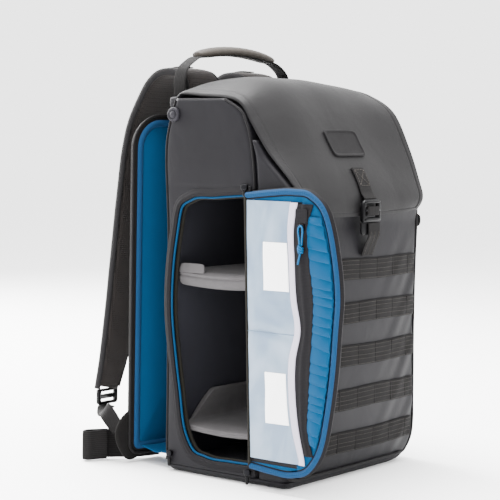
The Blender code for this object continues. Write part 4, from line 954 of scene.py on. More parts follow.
# Door lining: thin blue-green taffeta over the whole inner face, and the gathered pocket
# beside the zip, its top layer drawn into small pleats along both seams.
TEAL_COLOUR = "#003a5c"
OVER_X = DOOR_FACE - 0.0016
PLEATS = 21
PLEAT_RISE = 0.0024
GATHER_FOOT = 0.125
GATHER_TOP = 0.930
DOOR_SEAMS = table(
    "height pocket trim tape",
    (0.065, 0.573, 0.638, 0.744), (0.175, 0.501, 0.578, 0.675), (0.279, 0.472, 0.549, 0.690),
    (0.420, 0.479, 0.555, 0.717), (0.531, 0.549, 0.614, 0.743), (0.631, 0.510, 0.575, 0.758),
    (0.773, 0.494, 0.559, 0.721), (0.896, 0.488, 0.560, 0.706), (0.984, 0.525, 0.609, 0.783))


def seam(column, height):
    return hermite(DOOR_SEAMS["height"], DOOR_SEAMS[column], height)


def door_place(x, reach, height):
    """A point on the door from its depth, reach and height shares."""
    x, reach, height = np.broadcast_arrays(x, reach, height)
    z = OPENING_SILL + OPENING_HEIGHT * height
    return np.stack([x, hinge_y(z) - OPENING_REACH * reach, z], axis=-1)


def door_reach(height):
    """Reach of the door's free edge at a share of height."""
    free = slice(3, 12)
    return np.interp(height, DOOR_RIM["height"][free][::-1], DOOR_RIM["reach"][free][::-1])


lining_teal = woven("lining_taffeta_teal", TEAL_COLOUR, "#003353", 0.0011, roughness=0.55,
                    depth=0.25, sheen=0.01)


def lining_points():
    """The rim's outline filled towards its spine, a hair above the door's face."""
    line = rim_points(DOOR_RIM, 300, -1, 0.0070)
    spine = line * (0, 1) + (line[:, 0].mean(), 0)
    return np.stack([at_x(DOOR_FACE - 0.0004, spine + (line - spine) * share)
                     for share in (1.0, 0.8, 0.5, 0.2, 0.0)])


dress(tidy(thicken(surface("door_lining_cloth", lining_points()), 0.0006)), "teal_lining",
      "door_lining", finish=lining_teal)


def gather_points():
    """Pleats across the strip: their depth is that of a rounded saw tooth along the height,
    least at the tape, and each leans a little further down at the free edge."""
    gap = 0.0004 / OPENING_REACH
    rows = np.linspace(GATHER_FOOT, GATHER_TOP, 560)
    share = np.linspace(0.0, 1.0, 22)
    inner = seam("tape", rows) - gap
    outer = door_reach(rows) - (BINDING_WIDTH - 0.0004) / OPENING_REACH
    reach = inner[:, None] + (outer - inner)[:, None] * share
    phase = PLEATS * (rows[:, None] - GATHER_FOOT) / (GATHER_TOP - GATHER_FOOT)
    phase = phase + 0.22 * share ** 1.3
    phase = phase + 0.34 * np.sin(19.0 * rows + 0.8)[:, None] + 0.16 * np.sin(47.0 * rows)[:, None]
    saw = phase - np.floor(phase)
    fold = np.sin(math.pi * saw ** 0.55) ** 0.8
    hold = 0.22 + 0.78 * share ** 0.8
    puff = 0.0014 * np.sin(math.pi * share)
    x = OVER_X - 0.0002 - puff - PLEAT_RISE * fold * hold
    height = rows[:, None] - 0.004 * share
    return door_place(x, reach, height)


dress(thicken(surface("door_gathered_pocket", gather_points()), 0.0006), "teal_lining",
      "door_gather", finish=lining_teal)


# Clear pocket: frosted film sewn between the hinge and a pale tape, slack enough to ripple,
# with a seam across its middle that makes two sleeves, each with a blank white card in it.
FILM_SHADES = ("#7088a2", "#93a6ba")
FILM_BULGE = 0.0026
CROSS_SEAM = 0.508
FILM_FOOT = 0.050
FILM_TOP = 0.978
TAPE_PALE_COLOUR = "#c1bcca"


def film_height(reach, height):
    """How far the film stands off the door: a swell between its seams and its cross seam, with
    ripples that run down from the corners of the cards."""
    across = np.clip(reach / seam("pocket", height), 0.0, 1.0)
    swell = np.sin(math.pi * across) * np.sin(math.pi * np.clip(height, 0.03, 0.97)) ** 0.5
    tuck = 1 - 0.75 * groove(height - CROSS_SEAM - 0.01 * np.sin(5 * across), 0.016)
    ripple = np.sin(46 * height + 7.0 * across + 1.2 * np.sin(11 * height))
    ripple = 0.5 * ripple + 0.5 * np.sin(31 * height - 12.0 * across + 0.8)
    edge = np.sin(math.pi * across) ** 0.7
    return swell * FILM_BULGE * tuck + 0.00055 * ripple * edge


def film_points(lift, near, far, low, high, across, rows):
    """A patch of the film between two shares of its width and two heights."""
    height = np.linspace(low, high, rows)[:, None]
    reach = near + (far * seam("pocket", height) - near) * np.linspace(0, 1, across)
    height = np.broadcast_to(height, reach.shape)
    return door_place(OVER_X - lift - film_height(reach, height), reach, height)


def frosted_film(name, shades):
    """Frosted thermoplastic film: milky, with light passing through, cloudy where it lies on
    the lining, and a satin gloss that catches its ripples."""
    made, tree, shader = new_material(name, shades[0], 0.32, Transmission_Weight=0.35, IOR=1.45,
                                      Specular_IOR_Level=0.5, Coat_Weight=0.25, Coat_Roughness=0.2)
    place = add(tree, "ShaderNodeTexCoord").outputs["Object"]
    stretched = add(tree, "ShaderNodeMapping", {"Vector": place}, {"Scale": (1.0, 1.0, 0.6)})
    cloud = add(tree, "ShaderNodeTexNoise", {"Vector": stretched.outputs[0]},
                {"Scale": 22.0, "Detail": 3.0, "Roughness": 0.5, "Distortion": 0.8}).outputs["Fac"]
    tone = add(tree, "ShaderNodeValToRGB", {"Fac": cloud})
    for spot, at, colour in zip((0, 1), (0.36, 0.62), shades):
        tone.color_ramp.elements[spot].position = at
        tone.color_ramp.elements[spot].color = linear(colour)
    tree.links.new(tone.outputs[0], shader.inputs["Base Color"])
    bump = add(tree, "ShaderNodeBump", {"Height": cloud}, {"Strength": 0.35, "Distance": 0.003})
    tree.links.new(bump.outputs[0], shader.inputs["Normal"])
    return made


film_frosted = frosted_film("frosted_thermoplastic_film", FILM_SHADES)
film = surface("clear_pocket_film", film_points(0.0, 0.026, 1.0, FILM_FOOT, FILM_TOP, 60, 300))
thicken(film, 0.0005)
dress(film, "frosted_film", "clear_pocket", finish=film_frosted)

weld_height = np.full(40, CROSS_SEAM)
weld_reach = np.linspace(0.03, 1.0, 40) * seam("pocket", CROSS_SEAM)
weld_rise = 0.0006 + film_height(weld_reach, weld_height)
weld = tube("film_cross_seam", door_place(OVER_X - weld_rise, weld_reach, weld_height), 0.0005, 8)
weld_grey, _, _ = new_material("welded_film_seam", "#5d7286", 0.4, Specular_IOR_Level=0.2)
dress(weld, "frosted_film", finish=weld_grey)

card_white, _, _ = new_material("label_card_white", "#ffffff", 0.5, Specular_IOR_Level=0.3)
for name, node, near, far, low, high in (("card_upper", "label_upper", 0.225, 0.985, 0.660, 0.832),
                                         ("card_lower", "label_lower", 0.225, 0.96, 0.185, 0.368)):
    card = surface(name, film_points(0.0007, near, far, low, high, 16, 40))
    thicken(card, 0.0003)
    dress(card, "label_white", node, finish=card_white)

tape_pale = woven("polyester_tape_pale", TAPE_PALE_COLOUR, "#a8a3b1", 0.0011, roughness=0.6)


def strip_points(inner, outer, low, high, relief):
    """A strip between two seams of the door; relief gives its height across."""
    height = np.linspace(low, high, 260)[:, None]
    gap = 0.0002 / OPENING_REACH
    inner = seam(inner, height) - gap
    share = np.linspace(0.0, 1.0, len(relief))
    reach = inner + (seam(outer, height) + gap - inner) * share
    return door_place(OVER_X - np.asarray(relief), reach, height)


TRIM_RELIEF = (0.0002, 0.0012, 0.0014, 0.0013, 0.0013, 0.0014, 0.0010)
trim = surface("pale_edge_tape", strip_points("pocket", "trim", 0.050, 0.976, TRIM_RELIEF))
thicken(trim, 0.0005)
dress(trim, "pale_trim", "door_trim", finish=tape_pale)

ZIP_RELIEF = (0.0006, 0.0008, 0.0009, 0.0009, 0.0019, 0.0023, 0.0019, 0.0009, 0.0009, 0.0008,
              0.0012, 0.0006)
door_zip = surface("door_zip_tape", strip_points("trim", "tape", 0.085, 0.972, ZIP_RELIEF))
thicken(door_zip, 0.0005)
dress(door_zip, "zip_tape", "door_zip", finish=zip_black)


# Zip garage and slider: a doubled patch of tape over the zip's upper end, and a dark plated
# slider whose eye carries the cord.
def pillow(name, low, high, power=6.0, columns=24, rows=16):
    """A rounded block between two corners: a superellipsoid, each axis a signed power of the
    cosines and sines of two angles."""
    low, high = np.array(low), np.array(high)
    a = np.linspace(-math.pi / 2, math.pi / 2, rows)[:, None]
    b = np.linspace(-math.pi, math.pi, columns, endpoint=False)[None, :]
    bend = lambda value: np.sign(value) * np.abs(value) ** (2.0 / power)
    x = bend(np.cos(a)) * bend(np.cos(b))
    y = bend(np.cos(a)) * bend(np.sin(b))
    z = np.broadcast_to(bend(np.sin(a)), x.shape)
    unit = np.stack([x, y, z], axis=-1)
    return tidy(surface(name, (low + high) / 2 + unit * (high - low) / 2, around=True))


def plated_metal(name, shade):
    """Zinc alloy with a dark plating: polished, its gloss rubbed unevenly by use."""
    made, tree, shader = new_material(name, shade, 0.33, Metallic=1.0)
    place = add(tree, "ShaderNodeTexCoord").outputs["Object"]
    rub = add(tree, "ShaderNodeTexNoise", {"Vector": place}, {"Scale": 260.0, "Detail": 3.0})
    gloss = add(tree, "ShaderNodeMapRange", {"Value": rub.outputs["Fac"]},
                {"To Min": 0.24, "To Max": 0.46})
    tree.links.new(gloss.outputs[0], shader.inputs["Roughness"])
    return made


plated_dark = plated_metal("dark_plated_zinc", "#161618")
SLIDER_Y = -0.1148
garage = pillow("zip_end_garage", (OVER_X - 0.0030, SLIDER_Y - 0.0070, 0.3085),
                (OVER_X - 0.0008, SLIDER_Y + 0.0092, 0.3250), 9.0)
dress(garage, "zip_tape", "zip_garage", finish=zip_black)
slider = pillow("cord_zip_slider", (OVER_X - 0.0040, SLIDER_Y - 0.0034, 0.3000),
                (OVER_X - 0.0012, SLIDER_Y + 0.0034, 0.3080), 4.5)
dress(slider, "dark_metal", "cord_slider", finish=plated_dark)


# Hinge strip: the dark grosgrain that joins the door to the body along the hinge line, sewn
# down on both, with a rolled edge on the door's face.
def hinge_points():
    """A strip from the body out to the door's face, following the leaning hinge line."""
    z = np.linspace(OPENING_SILL + 0.004, OPENING_SILL + OPENING_HEIGHT - 0.002, 120)
    x = np.linspace(-HALF_WIDTH - 0.0016, DOOR_FACE - 0.0022, 10)
    grid_x, grid_z = np.meshgrid(x, z)
    y = hinge_y(grid_z) - 0.0013 + 0.0003 * np.sin(60 * grid_z)
    return np.stack([grid_x, y, grid_z], axis=-1)


dress(thicken(surface("door_hinge_strip", hinge_points()), 0.0016), "insert_binding", "door_hinge",
      finish=binding_brown)
hinge_roll_z = np.linspace(OPENING_SILL + 0.006, OPENING_SILL + OPENING_HEIGHT - 0.004, 60)
hinge_roll_line = np.column_stack([hinge_y(hinge_roll_z) - 0.0022, hinge_roll_z])
hinge_roll = tube("door_hinge_roll", at_x(DOOR_FACE - 0.0012, hinge_roll_line), 0.0021, 12)
dress(hinge_roll, "insert_binding", finish=binding_brown)


# Sliders of the door's and the laptop compartment's zips: a plated body with a short moulded
# pull hanging from it on a loop of cord.
moulded_black = moulded("moulded_acetal_black", "#0b0b0c", 0.36)


def slider_set(name, node, low, high, tab_end):
    """Body as a rounded block, pull as a flat drop under it, a ring between them."""
    low, high = np.array(low), np.array(high)
    body = pillow(f"{name}_body", low, high, 4.5)
    dress(body, "dark_metal", node, finish=plated_dark)
    middle = (low[1] + high[1]) / 2
    pull = pillow(f"{name}_pull", (low[0] + 0.0006, middle - 0.0022, low[2] + tab_end),
                  (low[0] + 0.0034, middle + 0.0022, low[2] - 0.0004), 3.4)
    dress(pull, "dark_metal", finish=moulded_black)
    turn = np.linspace(0, 2 * math.pi, 28, endpoint=False)
    eye = np.column_stack([np.full(28, low[0] + 0.0012), middle + 0.0019 * np.cos(turn),
                           low[2] + 0.0004 + 0.0026 * np.sin(turn)])
    dress(tube(f"{name}_eye", eye, 0.0006, 8, looped=True), "dark_metal", finish=plated_dark)


slider_x = -HALF_WIDTH - 0.0020
door_top = OPENING_SILL + OPENING_HEIGHT
top_y, foot_y = float(hinge_y(door_top)), float(hinge_y(OPENING_SILL))
slider_set("door_slider_upper", "door_slider_top",
           (slider_x - 0.0045, top_y + 0.0030, door_top + 0.0035),
           (slider_x, top_y + 0.0120, door_top + 0.0100), -0.0070)
slider_set("door_slider_lower", "door_slider_bottom",
           (slider_x - 0.0045, foot_y + 0.0050, OPENING_SILL - 0.0090),
           (slider_x, foot_y + 0.0140, OPENING_SILL - 0.0020), -0.0110)
slider_set("laptop_zip_slider", "laptop_slider", (-HALF_WIDTH - 0.0048, BACK_Y - 0.0110, 0.0185),
           (-HALF_WIDTH - 0.0003, BACK_Y - 0.0030, 0.0255), -0.0120)


# Pull of the front pocket's zip, at its right edge: a moulded black oval that hangs from the
# slider on a short cord link.
pull_y = float(pocket_front(HALF_WIDTH, 0.304)) + 0.0060
oval = pillow("pocket_zip_pull", (HALF_WIDTH + 0.0030, pull_y - 0.0075, 0.2950),
              (HALF_WIDTH + 0.0085, pull_y + 0.0035, 0.3110), 2.4)
dress(oval, "trim_black", "pocket_pull", finish=moulded_black)
link_z = np.linspace(0.3110, 0.3195, 12)
link_path = np.column_stack([np.full(12, HALF_WIDTH + 0.0024), np.full(12, pull_y), link_z])
link = tube("pocket_pull_cord", link_path, 0.0014)
dress(link, "trim_black", finish=trim_black)


# Flap: one panel of the coated nylon, cut wide, from a seam behind the crown over the top and
# down the front. It sags between its corners and its left edge rolls under.
FLAP_CLOTH = 0.0022
FLAP_LEFT = 0.1315
FLAP_RIGHT = 0.1365
FLAP_CORNER = 0.030
FLAP_SECTIONS = table(
    "left_reach left_rise mid_reach mid_rise right_reach right_rise",
    (0.022, 1.0034, 0.020, 1.0034, 0.022, 1.0034), (0.075, 1.0165, 0.065, 1.0480, 0.065, 1.0270),
    (0.230, 1.0125, 0.230, 1.0620, 0.250, 1.0430), (0.441, 1.0050, 0.420, 1.0620, 0.420, 1.0380),
    (0.550, 0.9860, 0.580, 1.0380, 0.571, 1.0240), (0.634, 0.9370, 0.720, 0.9780, 0.765, 0.9760),
    (0.770, 0.8640, 0.865, 0.8820, 0.900, 0.8750), (0.945, 0.7950, 0.990, 0.8030, 0.985, 0.7870),
    (1.030, 0.7520, 1.045, 0.7500, 1.022, 0.7420), (1.045, 0.6980, 1.062, 0.6980, 1.016, 0.7100))


def flap_point(u, v):
    """Outer face of the flap: u from -1, left, to 1, right; v from 0, back seam, to 1, hem. Each
    row blends its middle with its left edge by the fourth power of u, and with its right edge by
    the square."""
    u, v = np.broadcast_arrays(np.asarray(u, dtype=float), np.asarray(v, dtype=float))
    rows = np.linspace(0.0, 1.0, len(FLAP_SECTIONS["mid_reach"]))
    left, right = np.clip(-u, 0, 1) ** 4, np.clip(u, 0, 1) ** 2

    def column(kind):
        mid = hermite(rows, FLAP_SECTIONS["mid_" + kind], v)
        to_left = hermite(rows, FLAP_SECTIONS["left_" + kind], v) - mid
        to_right = hermite(rows, FLAP_SECTIONS["right_" + kind], v) - mid
        return mid + left * to_left + right * to_right

    y = BACK_Y - 2 * BACK_Y * column("reach")
    z = BODY_HEIGHT * column("rise")
    hem = BODY_HEIGHT * FLAP_SECTIONS["mid_rise"][-1]
    corner = foot_inset(np.clip(z - hem, 0.0, None), FLAP_CORNER)
    half = np.where(u < 0, FLAP_LEFT, FLAP_RIGHT) - corner * np.abs(u)
    return np.stack([u * half, y, z], axis=-1)


def flap_normal(u, v):
    """Outward direction of the flap: the product of its two directions, turned to the front
    and up."""
    step = 0.003
    inner = np.clip(v, step, 1 - step)
    down = flap_point(u, inner + step) - flap_point(u, inner - step)
    side = flap_point(u + step, inner) - flap_point(u - step, inner)
    normal = unit(np.cross(down, side))
    return np.where((normal[..., 2:] - normal[..., 1:2]) < 0, -normal, normal)


def flap_relief(u, v):
    """Soft dents and the hem: two long folds from the crown to the left edge, a dent above the
    patch's right, a double hem along the three free edges and its sewn line."""
    shape = flap_point(u, v)
    dents = 0.0019 * bumps(1.6 * shape[..., 0], shape[..., 2] - shape[..., 1], 21, 7, 14.0, 46.0)
    fold = 0.0016 * np.sin(7.5 * v + 3.1 * u) * np.clip(-u, 0, 1) * np.sin(math.pi * v)
    edge = np.minimum(np.minimum((1 + u) * FLAP_LEFT, (1 - u) * FLAP_RIGHT), (1 - v) * 0.45)
    hem = 0.0005 * np.clip((0.010 - edge) / 0.002, 0, 1) - 0.0004 * groove(edge - 0.010, 0.0012)
    return (dents + fold) * np.clip(v * 8, 0, 1) + hem


def lifted(u, v, distance):
    """Points at a distance over the flap's dressed outer face."""
    return flap_point(u, v) + flap_normal(u, v) * (distance + flap_relief(u, v))[..., None]


def flap_points():
    """The face with its relief; the left edge turns under over its last few millimetres."""
    v = np.concatenate([np.linspace(0.0, 0.93, 190), np.linspace(0.932, 1.0, 60)])
    u = np.concatenate([np.linspace(-1.0, -0.90, 24), np.linspace(-0.894, 0.90, 150),
                        np.linspace(0.904, 1.0, 20)])
    grid_u, grid_v = np.meshgrid(u, v)
    points = lifted(grid_u, grid_v, np.zeros_like(grid_u))
    under = np.clip((-grid_u - 0.980) / 0.020, 0, 1) ** 2 * np.clip(grid_v / 0.1, 0, 1)
    return points - flap_normal(grid_u, grid_v) * (0.0016 * under)[..., None]


coated_flap = coated_nylon("coated_nylon_flap", "#100f10", 0.9, 0.20, gloss=0.13)
flap = surface("lid_flap", flap_points()[:, ::-1])
flap.data.materials.append(coated_flap)
thicken(flap, FLAP_CLOTH, -1.0, lining=body_lining)
dress(flap, "coated_cloth", "flap")


# Patch: a bare rubber badge, moulded with a raised border and soft corners and sewn on the
# flap's front.
PATCH_HALF = 0.0335
PATCH_TOP = 0.4135
PATCH_DROP = 0.0310


def front_v(z):
    """Where along the flap its middle line passes a height, on its front."""
    v = np.linspace(0.45, 1.0, 400)
    return np.interp(-np.asarray(z), -flap_point(0.0, v)[..., 2], v)


def patch_points():
    """A rounded rectangle filled from its border inwards; the height steps down inside the
    border and its rim is rounded."""
    turn = np.linspace(0.0, 2 * math.pi, 160, endpoint=False)
    power = 2.0 / 9.0
    a = np.sign(np.cos(turn)) * np.abs(np.cos(turn)) ** power
    b = np.sign(np.sin(turn)) * np.abs(np.sin(turn)) ** power
    share = np.array([1.0, 1.0, 0.988, 0.965, 0.945, 0.925, 0.91, 0.90, 0.86, 0.6, 0.3,
                      0.0])[:, None]
    rise = np.array([0.0, 0.0013, 0.0018, 0.0019, 0.0018, 0.0014, 0.0010, 0.0009, 0.0009, 0.0009,
                     0.0009, 0.0009])[:, None]
    x = PATCH_HALF * a * share
    z = PATCH_TOP - PATCH_DROP / 2 + (PATCH_DROP / 2) * b * (1 - (1 - share) * 2.0 * (share > 0.8)
                                                           - (share <= 0.8) * (1 - share * 0.72))
    return lifted(x / FLAP_RIGHT, front_v(z), np.broadcast_to(0.0004 + rise, x.shape))


rubber = moulded("moulded_rubber_grey", "#121112", 0.55, 0.5)
patch = tidy(surface("flap_rubber_patch", patch_points(), around=True), 0.00002)
dress(patch, "rubber_patch", "flap_patch", finish=rubber)


# Flap strap: 25 mm webbing sewn down on the flap with a boxed cross, its end turned through the
# ladder buckle. Flat woven nylon with a ribbed face.
STRAP_WIDTH = 0.025
WEBBING_THICKNESS = 0.0016
STRAP_TOP = 0.369
BUCKLE_TOP = 0.3325
BUCKLE_WIDTH = 0.039
BUCKLE_HEIGHT = 0.027
BUCKLE_THICKNESS = 0.0052


def ribbed_webbing(name, shade, low, rib):
    """Flat nylon webbing: cross ribs a rib apart with a fainter run of warp threads, matt; the low
    colour is painted shade in the dips between ribs and threads.
    """
    made, tree, shader = new_material(name, shade, 0.78, Sheen_Weight=0.015,
                                      Specular_IOR_Level=0.06)
    place = add(tree, "ShaderNodeTexCoord").outputs["UV"]
    ribs = add(tree, "ShaderNodeTexWave", {"Vector": place},
               {"bands_direction": "Y", "Scale": 0.314 / rib, "Distortion": 0.5}).outputs["Fac"]
    warp = add(tree, "ShaderNodeTexWave", {"Vector": place},
               {"bands_direction": "X", "Scale": 0.314 / (2.2 * rib),
                "Distortion": 0.3}).outputs["Fac"]
    both = add(tree, "ShaderNodeMath", {0: ribs, 1: warp}, {"operation": "MULTIPLY"}).outputs[0]
    # The low colour is painted shade in the dips between the ribs.
    relief_with_painted_dip_shade(tree, shader, both, low, shade, 0.6, 0.0005)
    return made


def flat_section(width, thickness, count=10):
    """Webbing's section: a flat oval, the signed root of a circle, fullest at its edges."""
    turn = np.linspace(0.0, 2 * math.pi, 4 * count, endpoint=False)
    c, s = np.cos(turn), np.sin(turn)
    return np.column_stack([width / 2 * np.sign(c) * np.abs(c) ** 0.28,
                            thickness / 2 * np.sign(s) * np.abs(s) ** 0.6])


def stitches(name, path, normal, finish, pitch=0.0034, length=0.0024, radius=0.00028):
    """A row of stitches: one short rod for each pitch of the path, lying on its surface."""
    path = np.asarray(path, dtype=float)
    run = arc(path)
    count = max(2, int(run[-1] / pitch))
    starts = (np.arange(count) + 0.15) * pitch
    at = np.stack([starts, starts + length], axis=1)
    ends = np.stack([np.interp(at, run, column) for column in path.T], axis=-1)
    along_run = unit(ends[:, 1] - ends[:, 0])
    normal = np.broadcast_to(np.asarray(normal, dtype=float), along_run.shape)
    side = unit(np.cross(along_run, normal))
    up = np.cross(side, along_run)
    turn = np.linspace(0.0, 2 * math.pi, 5, endpoint=False)
    around = radius * (np.cos(turn)[:, None] * side[:, None] + np.sin(turn)[:, None] * up[:, None])
    rods = ends[:, :, None, :] + around[:, None, :, :]
    points = rods.reshape(-1, 3)
    start = 10 * np.arange(len(rods))[:, None]
    k = np.arange(5)
    quads = np.stack([k, (k + 1) % 5, 5 + (k + 1) % 5, 5 + k], axis=1)[None] + start[:, :, None]
    caps = np.stack([4 - k + start, 5 + k + start], axis=1)
    faces = quads.reshape(-1, 4).tolist() + caps.reshape(-1, 5).tolist()
    mesh = bpy.data.meshes.new(name)
    mesh.from_pydata(points.tolist(), [], faces)
    mesh.polygons.foreach_set("use_smooth", np.ones(len(mesh.polygons), dtype=bool))
    piece = bpy.data.objects.new(name, mesh)
    bpy.context.scene.collection.objects.link(piece)
    tidy(piece, 0.000001)
    piece.data.materials.append(finish)
    return piece


thread_grey, _, _ = new_material("bonded_thread_grey", "#3c3835", 0.6, Specular_IOR_Level=0.1)
webbing_black = ribbed_webbing("nylon_webbing_black", "#1b1a1a", "#0f0e0e", 0.0011)
strap_rows = np.linspace(STRAP_TOP, BUCKLE_TOP + 0.004, 30)
strap_path = lifted(np.zeros(30), front_v(strap_rows), np.full(30, 0.0014))
buckle_y = float(flap_point(0.0, 1.0)[1]) - 0.0006 - BUCKLE_THICKNESS / 2
strap_path = np.concatenate([strap_path[:-5], [(0.0, buckle_y + 0.0006, BUCKLE_TOP + 0.0004)]])
flap_strap = swept("flap_webbing", along(strap_path, 60), (1.0, 0.0, 0.0),
                   flat_section(STRAP_WIDTH, WEBBING_THICKNESS))
dress(flap_strap, "webbing", "flap_strap", finish=webbing_black)


def boxed_cross(name, top, low, half, lift):
    """Box and X stitches of a strap on the flap: six straight runs between its corners."""
    corners = {"a": (-half, top), "b": (half, top), "c": (half, low), "d": (-half, low)}
    for run in ("ab", "bc", "cd", "da", "ac", "bd"):
        (x0, z0), (x1, z1) = corners[run[0]], corners[run[1]]
        x, z = np.linspace(x0, x1, 20), np.linspace(z0, z1, 20)
        path = lifted(x / FLAP_RIGHT, front_v(z), np.full(20, lift))
        sewn = stitches(f"{name}_{run}", path, (0.0, -0.8, 0.6), thread_grey)
        dress(sewn, "webbing")


boxed_cross("flap_strap_stitch", STRAP_TOP - 0.003, STRAP_TOP - 0.021, STRAP_WIDTH / 2 - 0.003,
            0.0024)


# Ladder buckle: moulded acetal with two windows and a grip bar; behind it hangs the hook plate,
# and below, 25 mm webbing sewn to the pocket holds the hook.
def rounded_outline(width, height, radii, steps=8):
    """Outline round the origin, anticlockwise from the lower right; a radius per corner."""
    corners = zip(((1, -1), (1, 1), (-1, 1), (-1, -1)), radii, (-90, 0, 90, 180))
    parts = []
    for (sx, sy), radius, start in corners:
        angle = np.radians(np.linspace(start, start + 90, steps + 1))
        parts.append(np.column_stack([sx * (width / 2 - radius) + radius * np.cos(angle),
                                      sy * (height / 2 - radius) + radius * np.sin(angle)]))
    return np.concatenate(parts)


def slab(name, outline, near, far, edge=0.0008):
    """An XZ outline carried from y near to y far, its edges eased over less than a millimetre."""
    middle = outline.mean(axis=0)
    size = np.ptp(outline, axis=0) / 2
    rows = []
    for depth, ease in ((0.0, 1.0), (0.12, 0.3), (0.5, 0.0), (0.88, 0.3), (1.0, 1.0)):
        line = middle + (outline - middle) * (1 - ease * edge / size)
        y = np.full(len(line), near + (far - near) * depth)
        rows.append(np.column_stack([line[:, 0], y, line[:, 1]]))
    return tidy(surface(name, rows, around=True, ends=True))


buckle_centre = BUCKLE_TOP - BUCKLE_HEIGHT / 2
buckle_outline = rounded_outline(BUCKLE_WIDTH, BUCKLE_HEIGHT, (0.003, 0.009, 0.009, 0.003))
buckle = slab("ladder_buckle", buckle_outline + (0.0, buckle_centre),
              buckle_y - BUCKLE_THICKNESS / 2, buckle_y + BUCKLE_THICKNESS / 2)
window = BUCKLE_WIDTH - 0.011
windows = []
for low, high in ((0.62, 0.84), (0.22, 0.46)):
    z0, z1 = BUCKLE_TOP - BUCKLE_HEIGHT * (1 - low), BUCKLE_TOP - BUCKLE_HEIGHT * (1 - high)
    windows.append(box_shape("window", (-window / 2, buckle_y - 0.02, z0),
                             (window / 2, buckle_y + 0.02, z1)))
cut(buckle, *windows)
dress(buckle, "moulded_black", "flap_buckle", finish=moulded_black)
for number, share in enumerate((0.53, 0.12, 0.90)):
    z = BUCKLE_TOP - BUCKLE_HEIGHT * (1 - share)
    bar = pillow(f"buckle_bar_{number}", (-window / 2 - 0.002, buckle_y - 0.0046, z - 0.0017),
                 (window / 2 + 0.002, buckle_y - 0.0012, z + 0.0017), 3.0)
    dress(bar, "moulded_black", finish=moulded_black)

wrap = pillow("buckle_webbing_wrap", (-STRAP_WIDTH / 2, buckle_y - 0.0050, BUCKLE_TOP - 0.0190),
              (STRAP_WIDTH / 2, buckle_y - 0.0006, BUCKLE_TOP - 0.0080), 6.0)
dress(wrap, "webbing", finish=webbing_black)

hook_top = BUCKLE_TOP - BUCKLE_HEIGHT - 0.0003
hook_outline = rounded_outline(BUCKLE_WIDTH - 0.002, 0.0150, (0.005, 0.0015, 0.0015, 0.005))
hook = slab("hook_plate", hook_outline + (0.0, hook_top - 0.0075), buckle_y + 0.0002,
            buckle_y + 0.0024, 0.0004)
dress(hook, "dark_metal", "hook_tongue", finish=moulded_black)

ROW_TOP = 0.262
strap_end = ROW_TOP + 0.0030
pocket_strap_y = buckle_y - 0.0020
strap_foot = float(pocket_front(0.0, strap_end))
pocket_strap_path = along([(0.005, pocket_strap_y, hook_top - 0.0005),
                           (0.0055, pocket_strap_y + 0.0005, hook_top - 0.017),
                           (0.0062, strap_foot - 0.0075, strap_end + 0.0140),
                           (0.0066, strap_foot - 0.0022, strap_end)], 60)
pocket_strap = swept("pocket_webbing", pocket_strap_path, (1.0, 0.0, 0.0),
                     flat_section(STRAP_WIDTH, WEBBING_THICKNESS))
dress(pocket_strap, "webbing", "pocket_strap", finish=webbing_black)
for number, offset in enumerate((-0.0085, 0.0, 0.0085)):
    lane = pocket_strap_path[14:] + np.array([offset, -0.0010, 0.0])
    dress(stitches(f"pocket_strap_stitch_{number + 1}", lane, (0.0, -1.0, 0.0), thread_grey),
          "webbing")


# Webbing rows: five 25 mm bands across the pocket's face, sewn along four lines and tacked down
# every 38 mm, so that they ripple a little with the face.
ROW_PITCH = 0.0515
ROW_HEIGHT = 0.025
ROW_COUNT = 5
TACK_PITCH = 0.038


def row_y(x, z):
    """A row's outer face: over the pocket's face, standing a little prouder between tacks."""
    between = np.abs(np.sin(math.pi * (x + 0.006) / TACK_PITCH)) ** 0.6
    return pocket_front(x, z) - face_creases(x, z) - 0.0012 - 0.0007 * between


def row_points(top):
    """Band between two heights; its ends tuck into the edge seams and its two edges roll."""
    span = np.linspace(0.0, 1.0, 260)
    z = top - ROW_HEIGHT + ROW_HEIGHT * np.linspace(0.0, 1.0, 22)
    low = -HALF_WIDTH + EDGE_RADIUS + 0.0008
    high = -low - foot_inset(top - ROW_HEIGHT, RIGHT_FOOT_RADIUS)
    x = low + (high - low) * span
    grid_x, grid_z = np.meshgrid(x, z)
    roll = 0.0006 * (2 * np.abs(np.linspace(0, 1, 22) - 0.5)) ** 8
    sway = 0.0005 * np.sin(41.0 * grid_x + 60.0 * top)
    return np.stack([grid_x, row_y(grid_x, grid_z) + roll[:, None], grid_z + sway], axis=-1)


for row in range(ROW_COUNT):
    top = ROW_TOP - row * ROW_PITCH
    points = row_points(top)
    band = surface(f"webbing_band_{row + 1}", points)
    thicken(band, 0.0009)
    dress(band, "webbing", f"webbing_row_{row + 1}", finish=webbing_black)
    for line, share in enumerate((0.09, 0.30, 0.52, 0.72, 0.91)):
        lane = points[int(share * 21)] + (0.0, -0.0006, 0.0)
        sewn = stitches(f"row_{row + 1}_stitch_{line + 1}", lane, (0.0, -1.0, 0.0), thread_grey,
                        radius=0.00022)
        dress(sewn, "webbing")
    tacks = np.arange(-3, 4) * TACK_PITCH - 0.006
    held = (tacks > points[0, 0, 0] + 0.006) & (tacks < points[0, -1, 0] - 0.006)
    for number, x in enumerate(tacks[held]):
        z = np.linspace(top - ROW_HEIGHT + 0.0012, top - 0.0012, 20)
        lane = np.column_stack([np.full(20, x), row_y(np.full(20, x), z) - 0.0005, z])
        tack = swept(f"row_{row + 1}_tack_{number + 1}", lane, (1.0, 0.0, 0.0), circle(1.0, 8),
                     scale=np.column_stack([np.full(20, 0.0011), np.full(20, 0.0005)]))
        dress(tack, "webbing", finish=webbing_black)


